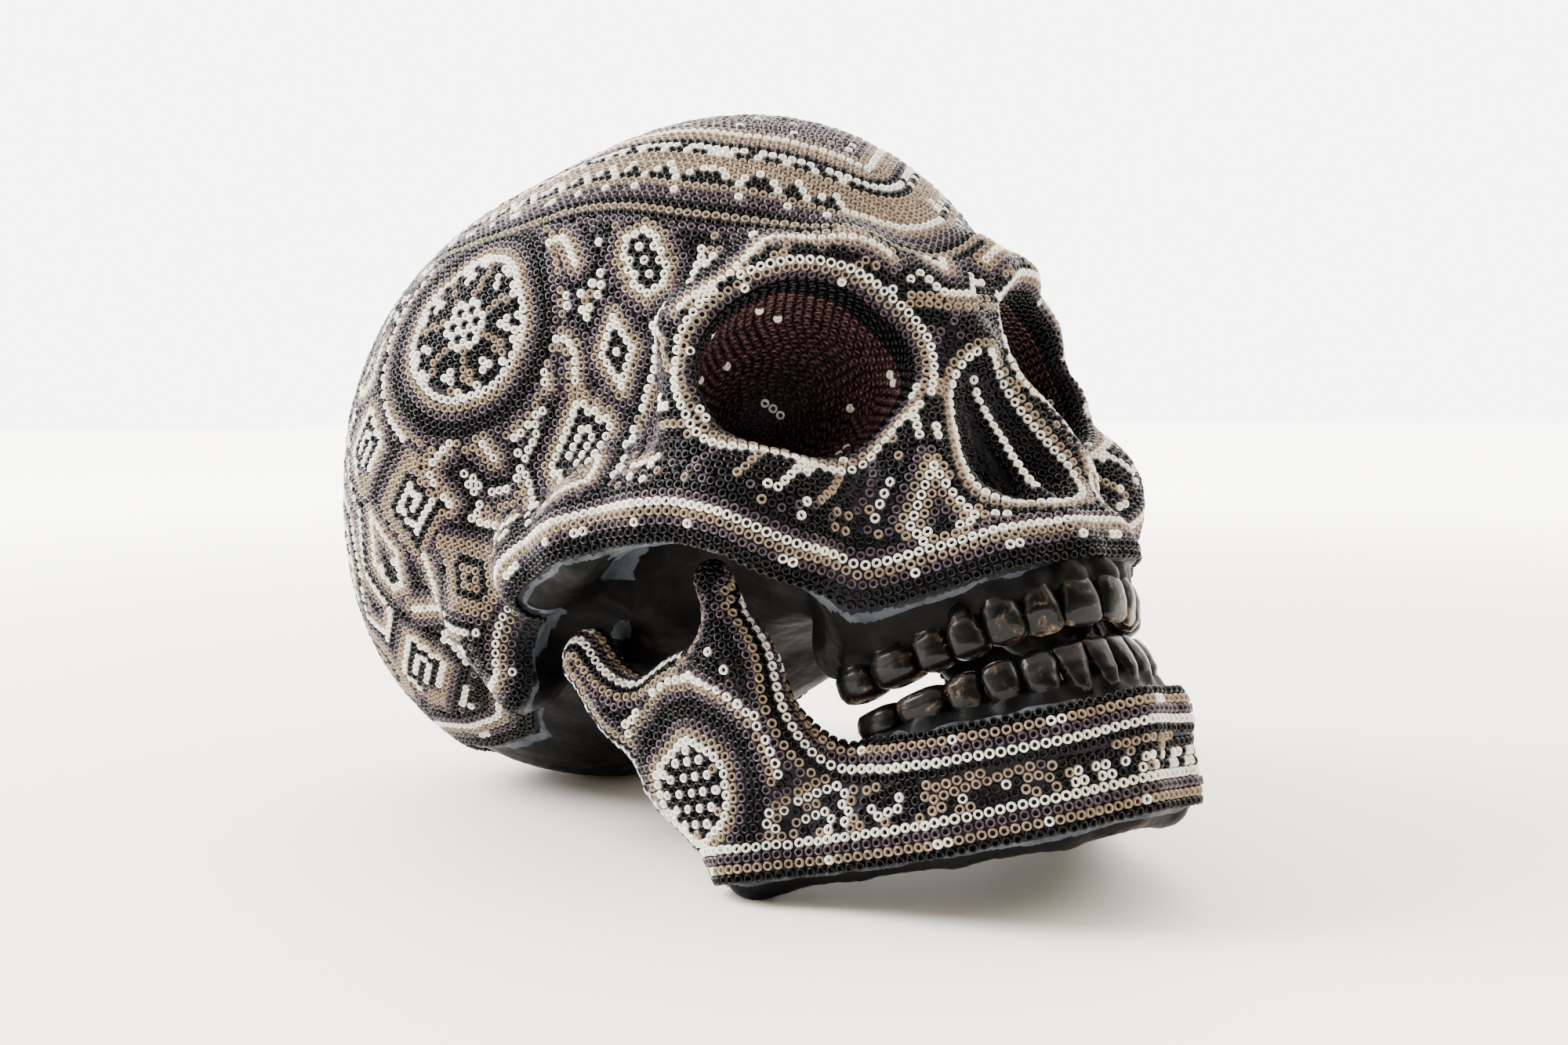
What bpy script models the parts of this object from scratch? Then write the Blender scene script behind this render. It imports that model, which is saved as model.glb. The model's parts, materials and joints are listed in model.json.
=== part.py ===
"""A life-size skull of cast resin, leaning back on its occiput and its two jaw corners.

Two castings carry a one-bead-thick mosaic shell each: the cranium, and the mandible that
swings on two pins. Twenty-eight tooth crowns sit in sockets along the two gum ridges.

Shapes are written in the skull's own frame, in millimetres: X to the skull's left, the
face towards -Y, Z to the crown, origin midway between the ears. Both halves are mirror
images, so the fields below read |x|. The empty "skull_frame" places that frame in the world.
"""

import math

import bmesh
import bpy
import numpy as np
import openvdb
from mathutils import Matrix, Vector

MM = 0.001

# How the figure stands
LEAN_BACK = math.radians(27.4)
FRAME_Y = 0.78  # the skull frame's origin in the world
FRAME_Z = 56.7

# Layers, outside in: bead faces, mosaic, glue gap, resin casting
BEAD_LAYER = 2.3
GLUE_GAP = 0.35
WALL = 6.0

# The jaw's hinge line, parallel to X
HINGE_Y = -1.0
HINGE_Z = -18.0
PIN_RADIUS = 1.5
PIN_PLAY = 0.1  # in the condyle, where the jaw turns
PIN_SEAT = 0.03  # in the cranium, where the pin is fixed
PIN_ENDS = (33.0, 53.0)

# Tooth rows, from the midline back: name, width, depth, crown height
UPPER_TEETH = (
    ("central_incisor", 8.4, 6.6, 9.4),
    ("lateral_incisor", 7.0, 6.2, 9.0),
    ("canine", 7.6, 7.6, 9.2),
    ("first_premolar", 7.0, 8.6, 8.0),
    ("second_premolar", 7.0, 8.6, 7.6),
    ("first_molar", 9.8, 10.4, 7.2),
    ("second_molar", 9.2, 10.0, 6.6),
)
LOWER_TEETH = (
    ("central_incisor", 5.4, 5.8, 8.8),
    ("lateral_incisor", 6.0, 6.0, 8.8),
    ("canine", 7.0, 7.0, 9.0),
    ("first_premolar", 7.0, 7.4, 8.0),
    ("second_premolar", 7.2, 7.8, 7.4),
    ("first_molar", 10.6, 9.6, 6.6),
    ("second_molar", 10.2, 9.4, 6.2),
)
# Half ellipses through the crowns: half width, length, y of the wide end
UPPER_ARCH = (29.5, 48.0, -49.0)
LOWER_ARCH = (28.0, 46.0, -49.5)
BITE_FRONT = -52.0  # z of the upper biting edge at the incisors
BITE_BACK = -50.5  # and at the last molars
BITE_GAP = 1.8
ROOT = 2.6
TOOTH_GAP = 0.5
SOCKET_PLAY = 0.35

RESIN_BLACK = (0.012, 0.012, 0.014)
TOOTH_BLACK = (0.022, 0.020, 0.020)
BEAD_GREY = (0.20, 0.17, 0.16)
STEEL = (0.55, 0.55, 0.56)


def ball(p, centre, radii, yaw=0.0):
    """Distance to an ellipsoid, turned about Z by yaw degrees."""
    x, y, z = p[0] - centre[0], p[1] - centre[1], p[2] - centre[2]
    c, s = math.cos(math.radians(yaw)), math.sin(math.radians(yaw))
    x, y = c * x + s * y, -s * x + c * y
    rx, ry, rz = radii
    near = np.sqrt((x / rx) ** 2 + (y / ry) ** 2 + (z / rz) ** 2)
    slope = np.sqrt((x / rx**2) ** 2 + (y / ry**2) ** 2 + (z / rz**2) ** 2)
    return near * (near - 1.0) / np.maximum(slope, 1e-6)


def rod(p, start, end, r_start, r_end):
    """Distance to a round-ended rod that tapers from r_start to r_end."""
    a, b = np.array(start, float), np.array(end, float)
    d = b - a
    t = sum((p[i] - a[i]) * d[i] for i in range(3)) / d.dot(d)
    t = np.clip(t, 0.0, 1.0)
    gap = np.sqrt(sum((p[i] - a[i] - t * d[i]) ** 2 for i in range(3)))
    return gap - (r_start + (r_end - r_start) * t)


def join(a, b, blend):
    """Union of two fields, rounded over the blend distance."""
    h = np.clip(0.5 + 0.5 * (b - a) / blend, 0.0, 1.0)
    return b + (a - b) * h - blend * h * (1.0 - h)


def cut(a, b, blend):
    """Field a with b carved out, rounded over the blend distance."""
    return -join(-a, b, blend)


def chain(p, points, radii, blend):
    """Rods from point to point, blended into one."""
    whole = None
    for i in range(len(points) - 1):
        piece = rod(p, points[i], points[i + 1], radii[i], radii[i + 1])
        whole = piece if whole is None else join(whole, piece, blend)
    return whole


def braincase(p):
    bone = join(ball(p, (0, 25, 44), (75, 82, 70)), ball(p, (0, -32, 36), (58, 52, 60)), 24)
    bone = join(bone, ball(p, (0, 62, 21), (60, 42, 50)), 24)
    bone = join(bone, ball(p, (0, 4, -6), (48, 56, 20)), 16)
    bone = cut(bone, ball(p, (88, -42, 24), (24, 34, 36)), 28)
    temple_ledge = chain(p, [(50, -50, 0), (56, -28, 3), (56, -6, 5)], [8, 8, 9], 8)
    return join(bone, temple_ledge, 14)


def add_face(bone, p):
    brow = chain(p, [(4, -80, 27), (18, -81, 33), (33, -76, 34), (46, -65, 28)], [7, 7, 6, 6], 6)
    outer_rim = chain(p, [(46, -65, 28), (51, -62, 12), (50, -62, -4)], [6, 6, 8], 6)
    cheekbone = ball(p, (42, -64, -13), (15, 14, 14))
    cheek_arch = chain(p, [(48, -64, -13), (58, -48, -6), (63, -28, -3), (62, -8, 0)], [8, 6, 6, 8], 8)
    cheek_corner = chain(p, [(42, -65, -22), (34, -66, -31)], [8, 6], 6)
    nose_bridge = chain(p, [(0, -82, 22), (0, -88, 12)], [8, 6], 6)
    nose_side = chain(p, [(9, -80, 18), (19, -82, -14)], [7, 8], 6)
    gum_line = [(0, -92.5, -36), (13, -88, -36), (22, -76, -37), (26, -62, -37), (27, -52, -37)]
    bone = join(bone, ball(p, (0, -54, 4), (46, 30, 36)), 16)
    bone = join(bone, brow, 12)
    bone = join(bone, outer_rim, 8)
    bone = join(bone, cheekbone, 10)
    bone = join(bone, cheek_arch, 12)
    bone = join(bone, cheek_corner, 10)
    bone = join(bone, ball(p, (0, -66, -24), (34, 28, 20)), 12)
    bone = join(bone, nose_bridge, 10)
    bone = join(bone, nose_side, 8)
    return join(bone, chain(p, gum_line, [9] * 5, 6), 10)


def carve_face(bone, p):
    nose_top = rod(p, (0, -104, 6), (0, -91, 3), 4, 3)
    nose_foot = ball(p, (4, -100, -14), (10, 15, 11))
    septum = rod(p, (0, -92, -24), (0, -84, 2), 1.5, 1.5)
    bone = cut(bone, ball(p, (33.5, -78, 13.5), (20.5, 36, 17.5), 10), 5)
    bone = cut(bone, join(nose_top, nose_foot, 16), 3)
    bone = join(bone, septum, 5)
    palate = ball(p, (0, -56, -48), (17, 30, 15))
    bone = cut(bone, palate, 8)
    bone = cut(bone, ball(p, (46, -36, -30), (14, 25, 28)), 8)
    return cut(bone, ball(p, (0, -14, -50), (34, 30, 24)), 12)


def cranium_field(x, y, z):
    p = (np.abs(x), y, z)
    bone = carve_face(add_face(braincase(p), p), p)
    mastoid = chain(p, [(58, 19, 2), (55, 18, -15)], [12, 9], 8)
    bone = join(bone, mastoid, 10)
    bone = cut(bone, ball(p, (51, HINGE_Y, HINGE_Z), (11, 11, 10)), 3)
    return join(bone, rod(p, (28, HINGE_Y, -13), (39, HINGE_Y, HINGE_Z), 10, 7), 3)


def cavity_field(x, y, z):
    """The hollow of the casting, open below through the round hole of the skull base."""
    p = (np.abs(x), y, z)
    inset = BEAD_LAYER + WALL
    hollow = join(
        ball(p, (0, 25, 44), (75 - inset, 82 - inset, 70 - inset)),
        ball(p, (0, -28, 40), (50 - inset, 48 - inset, 50 - inset)),
        16,
    )
    hollow = join(hollow, ball(p, (0, 60, 22), (58 - inset, 40 - inset, 47 - inset)), 16)
    return join(hollow, rod(p, (0, 26, -60), (0, 26, 20), 15, 15), 6)


def mandible_field(x, y, z):
    p = (np.abs(x), y, z)
    edge = [(0, -87, -84), (14, -83, -84), (27, -68, -81), (36, -50, -78), (46, -32, -75)]
    shelf = [(0, -91, -70), (14, -87, -69), (24, -72, -68), (30, -56, -66), (37, -46, -58)]
    gum_line = [(0, -93.5, -68), (12, -89, -68), (22, -78, -66.5), (26.5, -66, -64.5), (28, -54, -63)]
    ramus = chain(p, [(46, -30, -72.5), (47, -17, -50), (49, -5, -28), (50, -1, -18)], [6, 5, 5, 7], 8)
    coronoid = chain(p, [(41, -46, -56), (46, -46, -36), (47, -46, -18)], [6, 5, 4], 8)
    web = join(rod(p, (45, -34, -62), (46, -30, -46), 6, 5), ball(p, (46, -32, -50), (4.5, 16, 20)), 8)
    web = join(web, ball(p, (47, -24, -45), (4.5, 14, 16)), 6)
    web = join(web, rod(p, (49.5, -10, -33.5), (47, -39, -34), 5, 5), 6)
    bone = join(chain(p, edge, [8, 8, 8, 7, 6], 2), chain(p, shelf, [7, 7, 7, 7, 5], 2), 14)
    bone = join(bone, chain(p, gum_line, [7, 7, 7.5, 8, 7.5], 2), 6)
    return join(bone, join(join(ramus, coronoid, 8), web, 8), 10)


CRANIUM_BOX = ((-84, -112, -60), (84, 116, 124))
MANDIBLE_BOX = ((-64, -108, -102), (64, 24, 2))


def field_surface(name, field, box, inset, triangles, voxel=1.6):
    """A closed mesh where the field is -inset, reduced to about this many triangles."""
    low, high = np.array(box[0], float), np.array(box[1], float)
    counts = np.ceil((high - low) / voxel).astype(int)
    axes = [low[i] + voxel * np.arange(counts[i]) for i in range(3)]
    values = field(*np.meshgrid(*axes, indexing="ij")) + inset
    grid = openvdb.FloatGrid(3.0 * voxel)
    grid.copyFromArray(np.clip(values, -3.0 * voxel, 3.0 * voxel).astype(np.float32))
    points, quads = grid.convertToQuads()
    mesh = bpy.data.meshes.new(name)
    mesh.from_pydata((points * voxel + low) * MM, [], quads)
    obj = bpy.data.objects.new(name, mesh)
    bpy.context.scene.collection.objects.link(obj)
    reduce_to(obj, triangles)
    return obj


def reduce_to(obj, triangles):
    modifier = obj.modifiers.new("reduce", "DECIMATE")
    modifier.ratio = min(1.0, triangles / (2.0 * len(obj.data.polygons)))
    apply_modifiers(obj)


def apply_modifiers(obj):
    graph = bpy.context.evaluated_depsgraph_get()
    obj.data = bpy.data.meshes.new_from_object(obj.evaluated_get(graph))
    obj.modifiers.clear()


def carve(obj, cutters, operation="DIFFERENCE"):
    """Takes each cutter out of obj in turn, then removes the cutters."""
    for cutter in cutters:
        modifier = obj.modifiers.new(cutter.name, "BOOLEAN")
        modifier.object = cutter
        modifier.operation = operation
        modifier.solver = "EXACT"
    apply_modifiers(obj)
    for cutter in cutters:
        bpy.data.objects.remove(cutter)


def grown(obj, distance):
    """A copy of obj with each vertex moved outwards."""
    copy = bpy.data.objects.new(obj.name + "_grown", obj.data.copy())
    bpy.context.scene.collection.objects.link(copy)
    for vertex in copy.data.vertices:
        vertex.co += vertex.normal * distance * MM
    return copy


def prism(name, outline, axis, low, high):
    """A straight prism along axis 0 (X) or 2 (Z); its outline gives the other two."""
    work = bmesh.new()
    bottom = []
    for first, second in outline:
        place = (low, first, second) if axis == 0 else (first, second, low)
        bottom.append(work.verts.new(Vector(place) * MM))
    work.faces.new(bottom)
    shift = Vector((high - low, 0, 0)) if axis == 0 else Vector((0, 0, high - low))
    made = bmesh.ops.extrude_face_region(work, geom=work.faces[:])
    verts = [v for v in made["geom"] if isinstance(v, bmesh.types.BMVert)]
    bmesh.ops.translate(work, vec=shift * MM, verts=verts)
    bmesh.ops.recalc_face_normals(work, faces=work.faces)
    return finish_mesh(work, name)


def ellipsoid(name, centre, radii):
    work = bmesh.new()
    place = Matrix.Translation(Vector(centre) * MM) @ Matrix.Diagonal((*(r * MM for r in radii), 1))
    bmesh.ops.create_icosphere(work, subdivisions=3, radius=1.0, matrix=place)
    return finish_mesh(work, name)


def pin_shape(name, side, radius, ends):
    work = bmesh.new()
    middle = side * (ends[0] + ends[1]) / 2
    turn = Matrix.Rotation(math.radians(90), 4, "Y")
    place = Matrix.Translation(Vector((middle, HINGE_Y, HINGE_Z)) * MM) @ turn
    bmesh.ops.create_cone(
        work,
        cap_ends=True,
        segments=16,
        radius1=radius * MM,
        radius2=radius * MM,
        depth=(ends[1] - ends[0]) * MM,
        matrix=place,
    )
    return finish_mesh(work, name)


def finish_mesh(work, name):
    mesh = bpy.data.meshes.new(name)
    work.to_mesh(mesh)
    work.free()
    obj = bpy.data.objects.new(name, mesh)
    bpy.context.scene.collection.objects.link(obj)
    return obj


def tooth_levels(width, depth, height, grinding):
    """(height along the tooth, half width, half depth) from root to biting face."""
    w, d = width / 2, depth / 2
    edge = 0.78 if grinding else 0.24
    return (
        (-ROOT, 0.50 * w, 0.50 * d),
        (0.0, 0.82 * w, 0.84 * d),
        (0.45 * height, w, d),
        (0.86 * height, 0.95 * w, (edge + 0.16) * d),
        (height, 0.78 * w, edge * d),
    )


def tooth_shape(name, size, grinding, place, play):
    """One crown with its root, lofted through eight-sided rings; play swells it all round."""
    levels = tooth_levels(*size, grinding)
    work = bmesh.new()
    rings = []
    for number, (height, w, d) in enumerate(levels):
        height += play * ((number == len(levels) - 1) - (number == 0))
        ring = []
        for corner in range(8):
            angle = math.radians(45 * corner + 22.5)
            flat = 1.0 / math.cos(math.radians(22.5))
            across = (w + play) * math.cos(angle) * flat
            out = (d + play) * math.sin(angle) * flat
            ring.append(work.verts.new(place @ (Vector((across, out, height)) * MM)))
        rings.append(ring)
    for lower, upper in zip(rings, rings[1:]):
        for corner in range(8):
            after = (corner + 1) % 8
            work.faces.new((lower[corner], lower[after], upper[after], upper[corner]))
    work.faces.new(rings[0])
    work.faces.new(rings[-1])
    bmesh.ops.recalc_face_normals(work, faces=work.faces)
    bmesh.ops.triangulate(work, faces=work.faces)
    return finish_mesh(work, name)


def along_arch(arch, distance):
    """Point on the half ellipse and its outward direction, this far from the midline."""
    half_width, length, wide_y = arch
    angles = np.linspace(0.0, math.pi / 2, 400)
    xs, ys = half_width * np.sin(angles), wide_y - length * np.cos(angles)
    run = np.concatenate([[0.0], np.cumsum(np.hypot(np.diff(xs), np.diff(ys)))])
    angle = np.interp(distance, run, angles)
    x, y = half_width * math.sin(angle), wide_y - length * math.cos(angle)
    out = Vector((math.sin(angle) / half_width, -math.cos(angle) / length, 0)).normalized()
    return x, y, out


def tooth_places(row, arch, side, upper):
    """For each tooth of one half row: name, size and the matrix that places it."""
    distance = 0.0
    places = []
    for kind, width, depth, height in row:
        x, y, out = along_arch(arch, distance + width / 2)
        distance += width
        share = (y - arch[2] + arch[1]) / arch[1]
        bite = BITE_FRONT + (BITE_BACK - BITE_FRONT) * share
        tip = Vector((0, 0, -1.0 if upper else 1.0))
        base_z = bite + height if upper else bite - BITE_GAP - height
        out = Vector((side * out.x, out.y, 0))
        frame = Matrix((out.cross(tip), out, tip)).transposed().to_4x4()
        place = Matrix.Translation(Vector((side * x, y, base_z)) * MM) @ frame
        places.append((kind, (width - TOOTH_GAP, depth, height), place))
    return places


def tooth_row(jaw, row, arch):
    """The fourteen teeth of one jaw, and the swollen copies that cut their sockets."""
    teeth, cutters = [], []
    for side_name, side in (("right", -1), ("left", 1)):
        for kind, size, place in tooth_places(row, arch, side, jaw == "upper"):
            name = f"{jaw}_{side_name}_{kind}"
            grinding = "molar" in kind
            teeth.append(tooth_shape(name, size, grinding, place, 0.0))
            cutters.append(tooth_shape(name + "_socket", size, grinding, place, SOCKET_PLAY))
    return teeth, cutters


def finished(obj, colour, roughness, metallic, parent):
    """Gives obj its own material and hangs it on its parent empty without moving it."""
    material = bpy.data.materials.new(obj.name)
    material.use_nodes = True
    shader = material.node_tree.nodes["Principled BSDF"]
    shader.inputs["Base Color"].default_value = (*colour, 1.0)
    shader.inputs["Roughness"].default_value = roughness
    shader.inputs["Metallic"].default_value = metallic
    obj.data.materials.clear()
    obj.data.materials.append(material)
    obj.parent = parent
    if parent.name == "jaw_hinge":
        obj.data.transform(Matrix.Translation(-parent.location))
    return obj


def empty(name, place, parent=None):
    made = bpy.data.objects.new(name, None)
    made.location = Vector(place) * MM
    made.parent = parent
    bpy.context.scene.collection.objects.link(made)
    return made


def floor_cutter(frame):
    """A slab below the floor, in the skull's frame."""
    work = bmesh.new()
    slab = Matrix.Translation((0, 0, -0.05)) @ Matrix.Diagonal((0.4, 0.4, 0.1, 1))
    bmesh.ops.create_cube(work, size=1.0, matrix=frame.matrix_world.inverted() @ slab)
    return finish_mesh(work, "floor")


def below_bead_border():
    """Everything under the edge of the cranium's mosaic, seen from the side."""
    border = [(-71, -36.5), (-68.5, -28), (-64, -20), (-55, -13.5), (-40, -8), (-26, -5)]
    border += [(-12, -4), (-4, -6), (2, -14), (8, -21), (20, -22.5), (46, -20.5), (62, -18)]
    border += [(76, -12), (140, -12)]
    front = [(-130, -40), (-100, -39.7), (-88, -39), (-79, -38.5)]
    return prism("below_border", [(-130, -120)] + front + border + [(140, -120)], 0, -120, 120)


def cheek_hollow(name, side):
    return ellipsoid(name, (side * 45, -34, -30), (17, 29, 31))


def above_jaw_border():
    rise = [(-56, -55), (-54.5, -48), (-55, -40), (-55, 20), (-130, 20)]
    border = [(-130, -66), (-96, -65.6), (-88, -64.2), (-77, -62), (-65, -59)]
    return prism("above_jaw_border", border + rise, 0, -80, 80)


def below_jaw_border():
    border = [(-130, -90), (-90, -88.5), (-68, -85), (-50, -81), (-32, -76), (0, -70), (60, -70)]
    return prism("below_jaw_border", border + [(60, -140), (-130, -140)], 0, -80, 80)


def inside_jaw():
    right = [(-49, 40), (-48.5, -2), (-46.5, -14), (-44.5, -30), (-40, -46), (-35.5, -56), (-29, -70), (-16, -83)]
    left = [(-x, y) for x, y in reversed(right)]
    return prism("inside_jaw", right + [(0, -87)] + left, 2, -120, 20)


def keep_largest_piece(obj):
    work = bmesh.new()
    work.from_mesh(obj.data)
    left = set(work.verts)
    pieces = []
    while left:
        front = [left.pop()]
        piece = set(front)
        while front:
            vertex = front.pop()
            near = {edge.other_vert(vertex) for edge in vertex.link_edges} & left
            left -= near
            piece |= near
            front.extend(near)
        pieces.append(piece)
    largest = max(pieces, key=len)
    bmesh.ops.delete(work, geom=[v for v in work.verts if v not in largest], context="VERTS")
    work.to_mesh(obj.data)
    work.free()


def make_cranium(frame):
    cranium = field_surface("cranium", cranium_field, CRANIUM_BOX, BEAD_LAYER, 2600)
    mosaic = field_surface("cranium_bead_mosaic", cranium_field, CRANIUM_BOX, 0.0, 2600)
    bare = [cheek_hollow(f"hollow_{side}", side) for side in (-1, 1)]
    bare.append(ellipsoid("skull_base", (0, 6, -26), (55, 38, 23)))
    carve(mosaic, [below_bead_border(), *bare, grown(cranium, GLUE_GAP), floor_cutter(frame)])
    keep_largest_piece(mosaic)
    teeth, sockets = tooth_row("upper", UPPER_TEETH, UPPER_ARCH)
    cavity = field_surface("cavity", cavity_field, CRANIUM_BOX, 0.0, 500, 2.4)
    pin_holes = [pin_shape(f"hole_{side}", side, PIN_RADIUS + PIN_SEAT, PIN_ENDS) for side in (-1, 1)]
    carve(cranium, [cavity, *pin_holes, *sockets, floor_cutter(frame)])
    keep_largest_piece(cranium)
    return cranium, mosaic, teeth


def make_mandible(frame):
    mandible = field_surface("mandible", mandible_field, MANDIBLE_BOX, BEAD_LAYER, 1200, 1.2)
    mosaic = field_surface("mandible_bead_mosaic", mandible_field, MANDIBLE_BOX, 0.0, 1200, 1.2)
    cutters = [above_jaw_border(), below_jaw_border(), inside_jaw()]
    carve(mosaic, cutters + [grown(mandible, GLUE_GAP), floor_cutter(frame)])
    keep_largest_piece(mosaic)
    teeth, sockets = tooth_row("lower", LOWER_TEETH, LOWER_ARCH)
    play = PIN_RADIUS + PIN_PLAY
    pin_holes = [pin_shape(f"hole_{side}", side, play, PIN_ENDS) for side in (-1, 1)]
    carve(mandible, pin_holes + sockets + [floor_cutter(frame)])
    keep_largest_piece(mandible)
    return mandible, mosaic, teeth


def main():
    for obj in list(bpy.data.objects):
        bpy.data.objects.remove(obj)
    frame = empty("skull_frame", (0, FRAME_Y, FRAME_Z))
    frame.rotation_euler.x = -LEAN_BACK
    hinge = empty("jaw_hinge", (0, HINGE_Y, HINGE_Z), frame)
    bpy.context.view_layer.update()

    cranium, cranium_mosaic, upper_teeth = make_cranium(frame)
    finished(cranium, RESIN_BLACK, 0.4, 0.0, frame)
    finished(cranium_mosaic, BEAD_GREY, 0.3, 0.0, frame)
    for tooth in upper_teeth:
        finished(tooth, TOOTH_BLACK, 0.3, 0.0, frame)
    for side_name, side in (("right", -1), ("left", 1)):
        ends = (PIN_ENDS[0] + GLUE_GAP, PIN_ENDS[1] - GLUE_GAP)
        pin = pin_shape(f"{side_name}_jaw_pin", side, PIN_RADIUS, ends)
        finished(pin, STEEL, 0.25, 1.0, frame)

    mandible, mandible_mosaic, lower_teeth = make_mandible(frame)
    finished(mandible, RESIN_BLACK, 0.4, 0.0, hinge)
    finished(mandible_mosaic, BEAD_GREY, 0.3, 0.0, hinge)
    for tooth in lower_teeth:
        finished(tooth, TOOTH_BLACK, 0.3, 0.0, hinge)


main()
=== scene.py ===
"""Visual model of a life-size resin skull covered in glass seed beads set in wax.

Every shape is worked out in the skull's own frame, in millimetres: X to the skull's left,
the face towards -Y, Z to the crown. SKULL_FRAME places that frame in the world, in metres.
The skin is the zero level of a distance field; the beads stand on it, the wax bed lies
about a millimetre below and the resin casting 2.3 mm below.
"""

import heapq
import itertools
import json
import math

import bmesh
import bpy
import numpy as np
import openvdb
from mathutils import Matrix, Vector
from mathutils.bvhtree import BVHTree
from mathutils.kdtree import KDTree

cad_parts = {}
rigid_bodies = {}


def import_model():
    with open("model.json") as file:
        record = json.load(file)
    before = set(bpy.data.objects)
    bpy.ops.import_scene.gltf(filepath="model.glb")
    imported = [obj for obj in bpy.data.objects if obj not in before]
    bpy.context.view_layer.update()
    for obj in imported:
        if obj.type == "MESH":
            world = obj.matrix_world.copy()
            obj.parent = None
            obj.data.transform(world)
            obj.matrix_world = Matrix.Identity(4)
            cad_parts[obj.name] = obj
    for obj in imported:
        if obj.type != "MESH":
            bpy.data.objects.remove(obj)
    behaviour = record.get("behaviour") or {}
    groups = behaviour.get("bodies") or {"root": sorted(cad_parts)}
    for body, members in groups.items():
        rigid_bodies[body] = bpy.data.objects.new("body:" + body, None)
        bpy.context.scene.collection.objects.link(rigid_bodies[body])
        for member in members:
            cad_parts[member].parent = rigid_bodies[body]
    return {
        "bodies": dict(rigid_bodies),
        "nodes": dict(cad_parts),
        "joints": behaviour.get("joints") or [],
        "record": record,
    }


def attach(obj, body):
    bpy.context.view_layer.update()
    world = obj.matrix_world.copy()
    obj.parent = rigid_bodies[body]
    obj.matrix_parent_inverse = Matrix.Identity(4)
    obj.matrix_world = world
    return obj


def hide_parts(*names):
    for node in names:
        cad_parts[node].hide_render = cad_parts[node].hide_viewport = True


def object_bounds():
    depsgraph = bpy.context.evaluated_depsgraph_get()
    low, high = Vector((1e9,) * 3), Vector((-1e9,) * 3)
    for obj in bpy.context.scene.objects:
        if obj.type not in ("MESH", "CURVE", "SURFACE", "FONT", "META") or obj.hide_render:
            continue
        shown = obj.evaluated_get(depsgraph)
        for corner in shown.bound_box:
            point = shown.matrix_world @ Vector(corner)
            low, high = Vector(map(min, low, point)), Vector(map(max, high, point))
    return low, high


MM = 0.001
LEAN_BACK = math.radians(27.4)
SKULL_FRAME = Matrix.Translation((0, 0.78 * MM, 56.7 * MM)) @ Matrix.Rotation(-LEAN_BACK, 4, "X")
HINGE_Y = -1.0
HINGE_Z = -18.0

# Layers below the bead faces
BEAD_LAYER = 2.3
WAX_LEVEL = 1.05
BEAD_CENTRE = 0.72

# Grid steps of the distance fields
SKULL_VOXEL = 1.0
JAW_VOXEL = 0.8

# Beads
PITCH = 2.1  # centre to centre along a row
ROW = PITCH * math.sqrt(3) / 2  # between rows in the lattice
ROW_STEP = 0.93 * PITCH  # between rows that follow a line
GUIDE_CLOSEST = 0.86  # shares of the pitch that two beads keep: on guides
ROW_CLOSEST = 0.93  # in the rows filled beside them
CROWDED_CLOSEST = 0.76  # in the room that is left
REFILL_CLOSEST = 0.79  # in the room made by evening out
RIM = 0.2  # no bead is nearer than this to the edge of the beaded area
BORDER_INSET = 1.05
DENSE_STEP = 0.6  # between the points of a guide that other beads look for
SAME_SIDE = -0.2  # least cosine between two normals on the same side of thin bone
BEAD_RADIUS = 1.03
HOLE_RADIUS = 0.48
BEAD_HEIGHT = 1.35
MOST_BEADS = 1600  # in one piece
BEAD_TILT = 0.07
BEAD_SPREAD = 0.022  # how much the beads' sizes, heights and places vary
HEIGHT_SPREAD = 0.07
PLACE_SPREAD = 0.06
BEAD_SEED = 11
BEAD_NAMES = {"W": "ivory", "T": "tan", "P": "purple", "K": "black", "M": "maroon"}

CRANIUM_BOX = ((-84, -112, -60), (84, 116, 124))
MANDIBLE_BOX = ((-64, -108, -102), (64, 24, 2))

# Camera, in metres
CAMERA_PLACE = (-0.258126, -0.338923, 0.097691)
CAMERA_RIGHT = (0.785133, -0.619325, -0.001751)
CAMERA_UP = (0.043619, 0.052475, 0.997669)
CAMERA_BACK = (-0.617789, -0.783379, 0.068214)
LENS = 41.4

# The white room: brightest far behind the skull
BRIGHT_SIDE = (0.50, 0.84, 0.2)
BRIGHT_STRENGTH = 7.0
WHITE_LIGHT = (1.0, 0.985, 0.965)
WARM_LIGHT = (1.0, 0.87, 0.70)
DIM_STRENGTH = 0.35
FLOOR_REACH = 6.0
FLOOR_GLOW = 4.5
GLOW_REACH = (0.25, 1.6)  # the floor's glow starts and is full this far out, in metres
GLOW_COLOUR = (1.0, 0.985, 0.96)
SPECULAR = 0.12


# ---- The skull's shape: the same distance fields as the CAD ----


def ball(p, centre, radii, yaw=0.0):
    """Distance to an ellipsoid, turned about Z by yaw degrees."""
    x, y, z = p[0] - centre[0], p[1] - centre[1], p[2] - centre[2]
    c, s = math.cos(math.radians(yaw)), math.sin(math.radians(yaw))
    x, y = c * x + s * y, -s * x + c * y
    rx, ry, rz = radii
    near = np.sqrt((x / rx) ** 2 + (y / ry) ** 2 + (z / rz) ** 2)
    slope = np.sqrt((x / rx**2) ** 2 + (y / ry**2) ** 2 + (z / rz**2) ** 2)
    return near * (near - 1.0) / np.maximum(slope, 1e-6)


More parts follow.
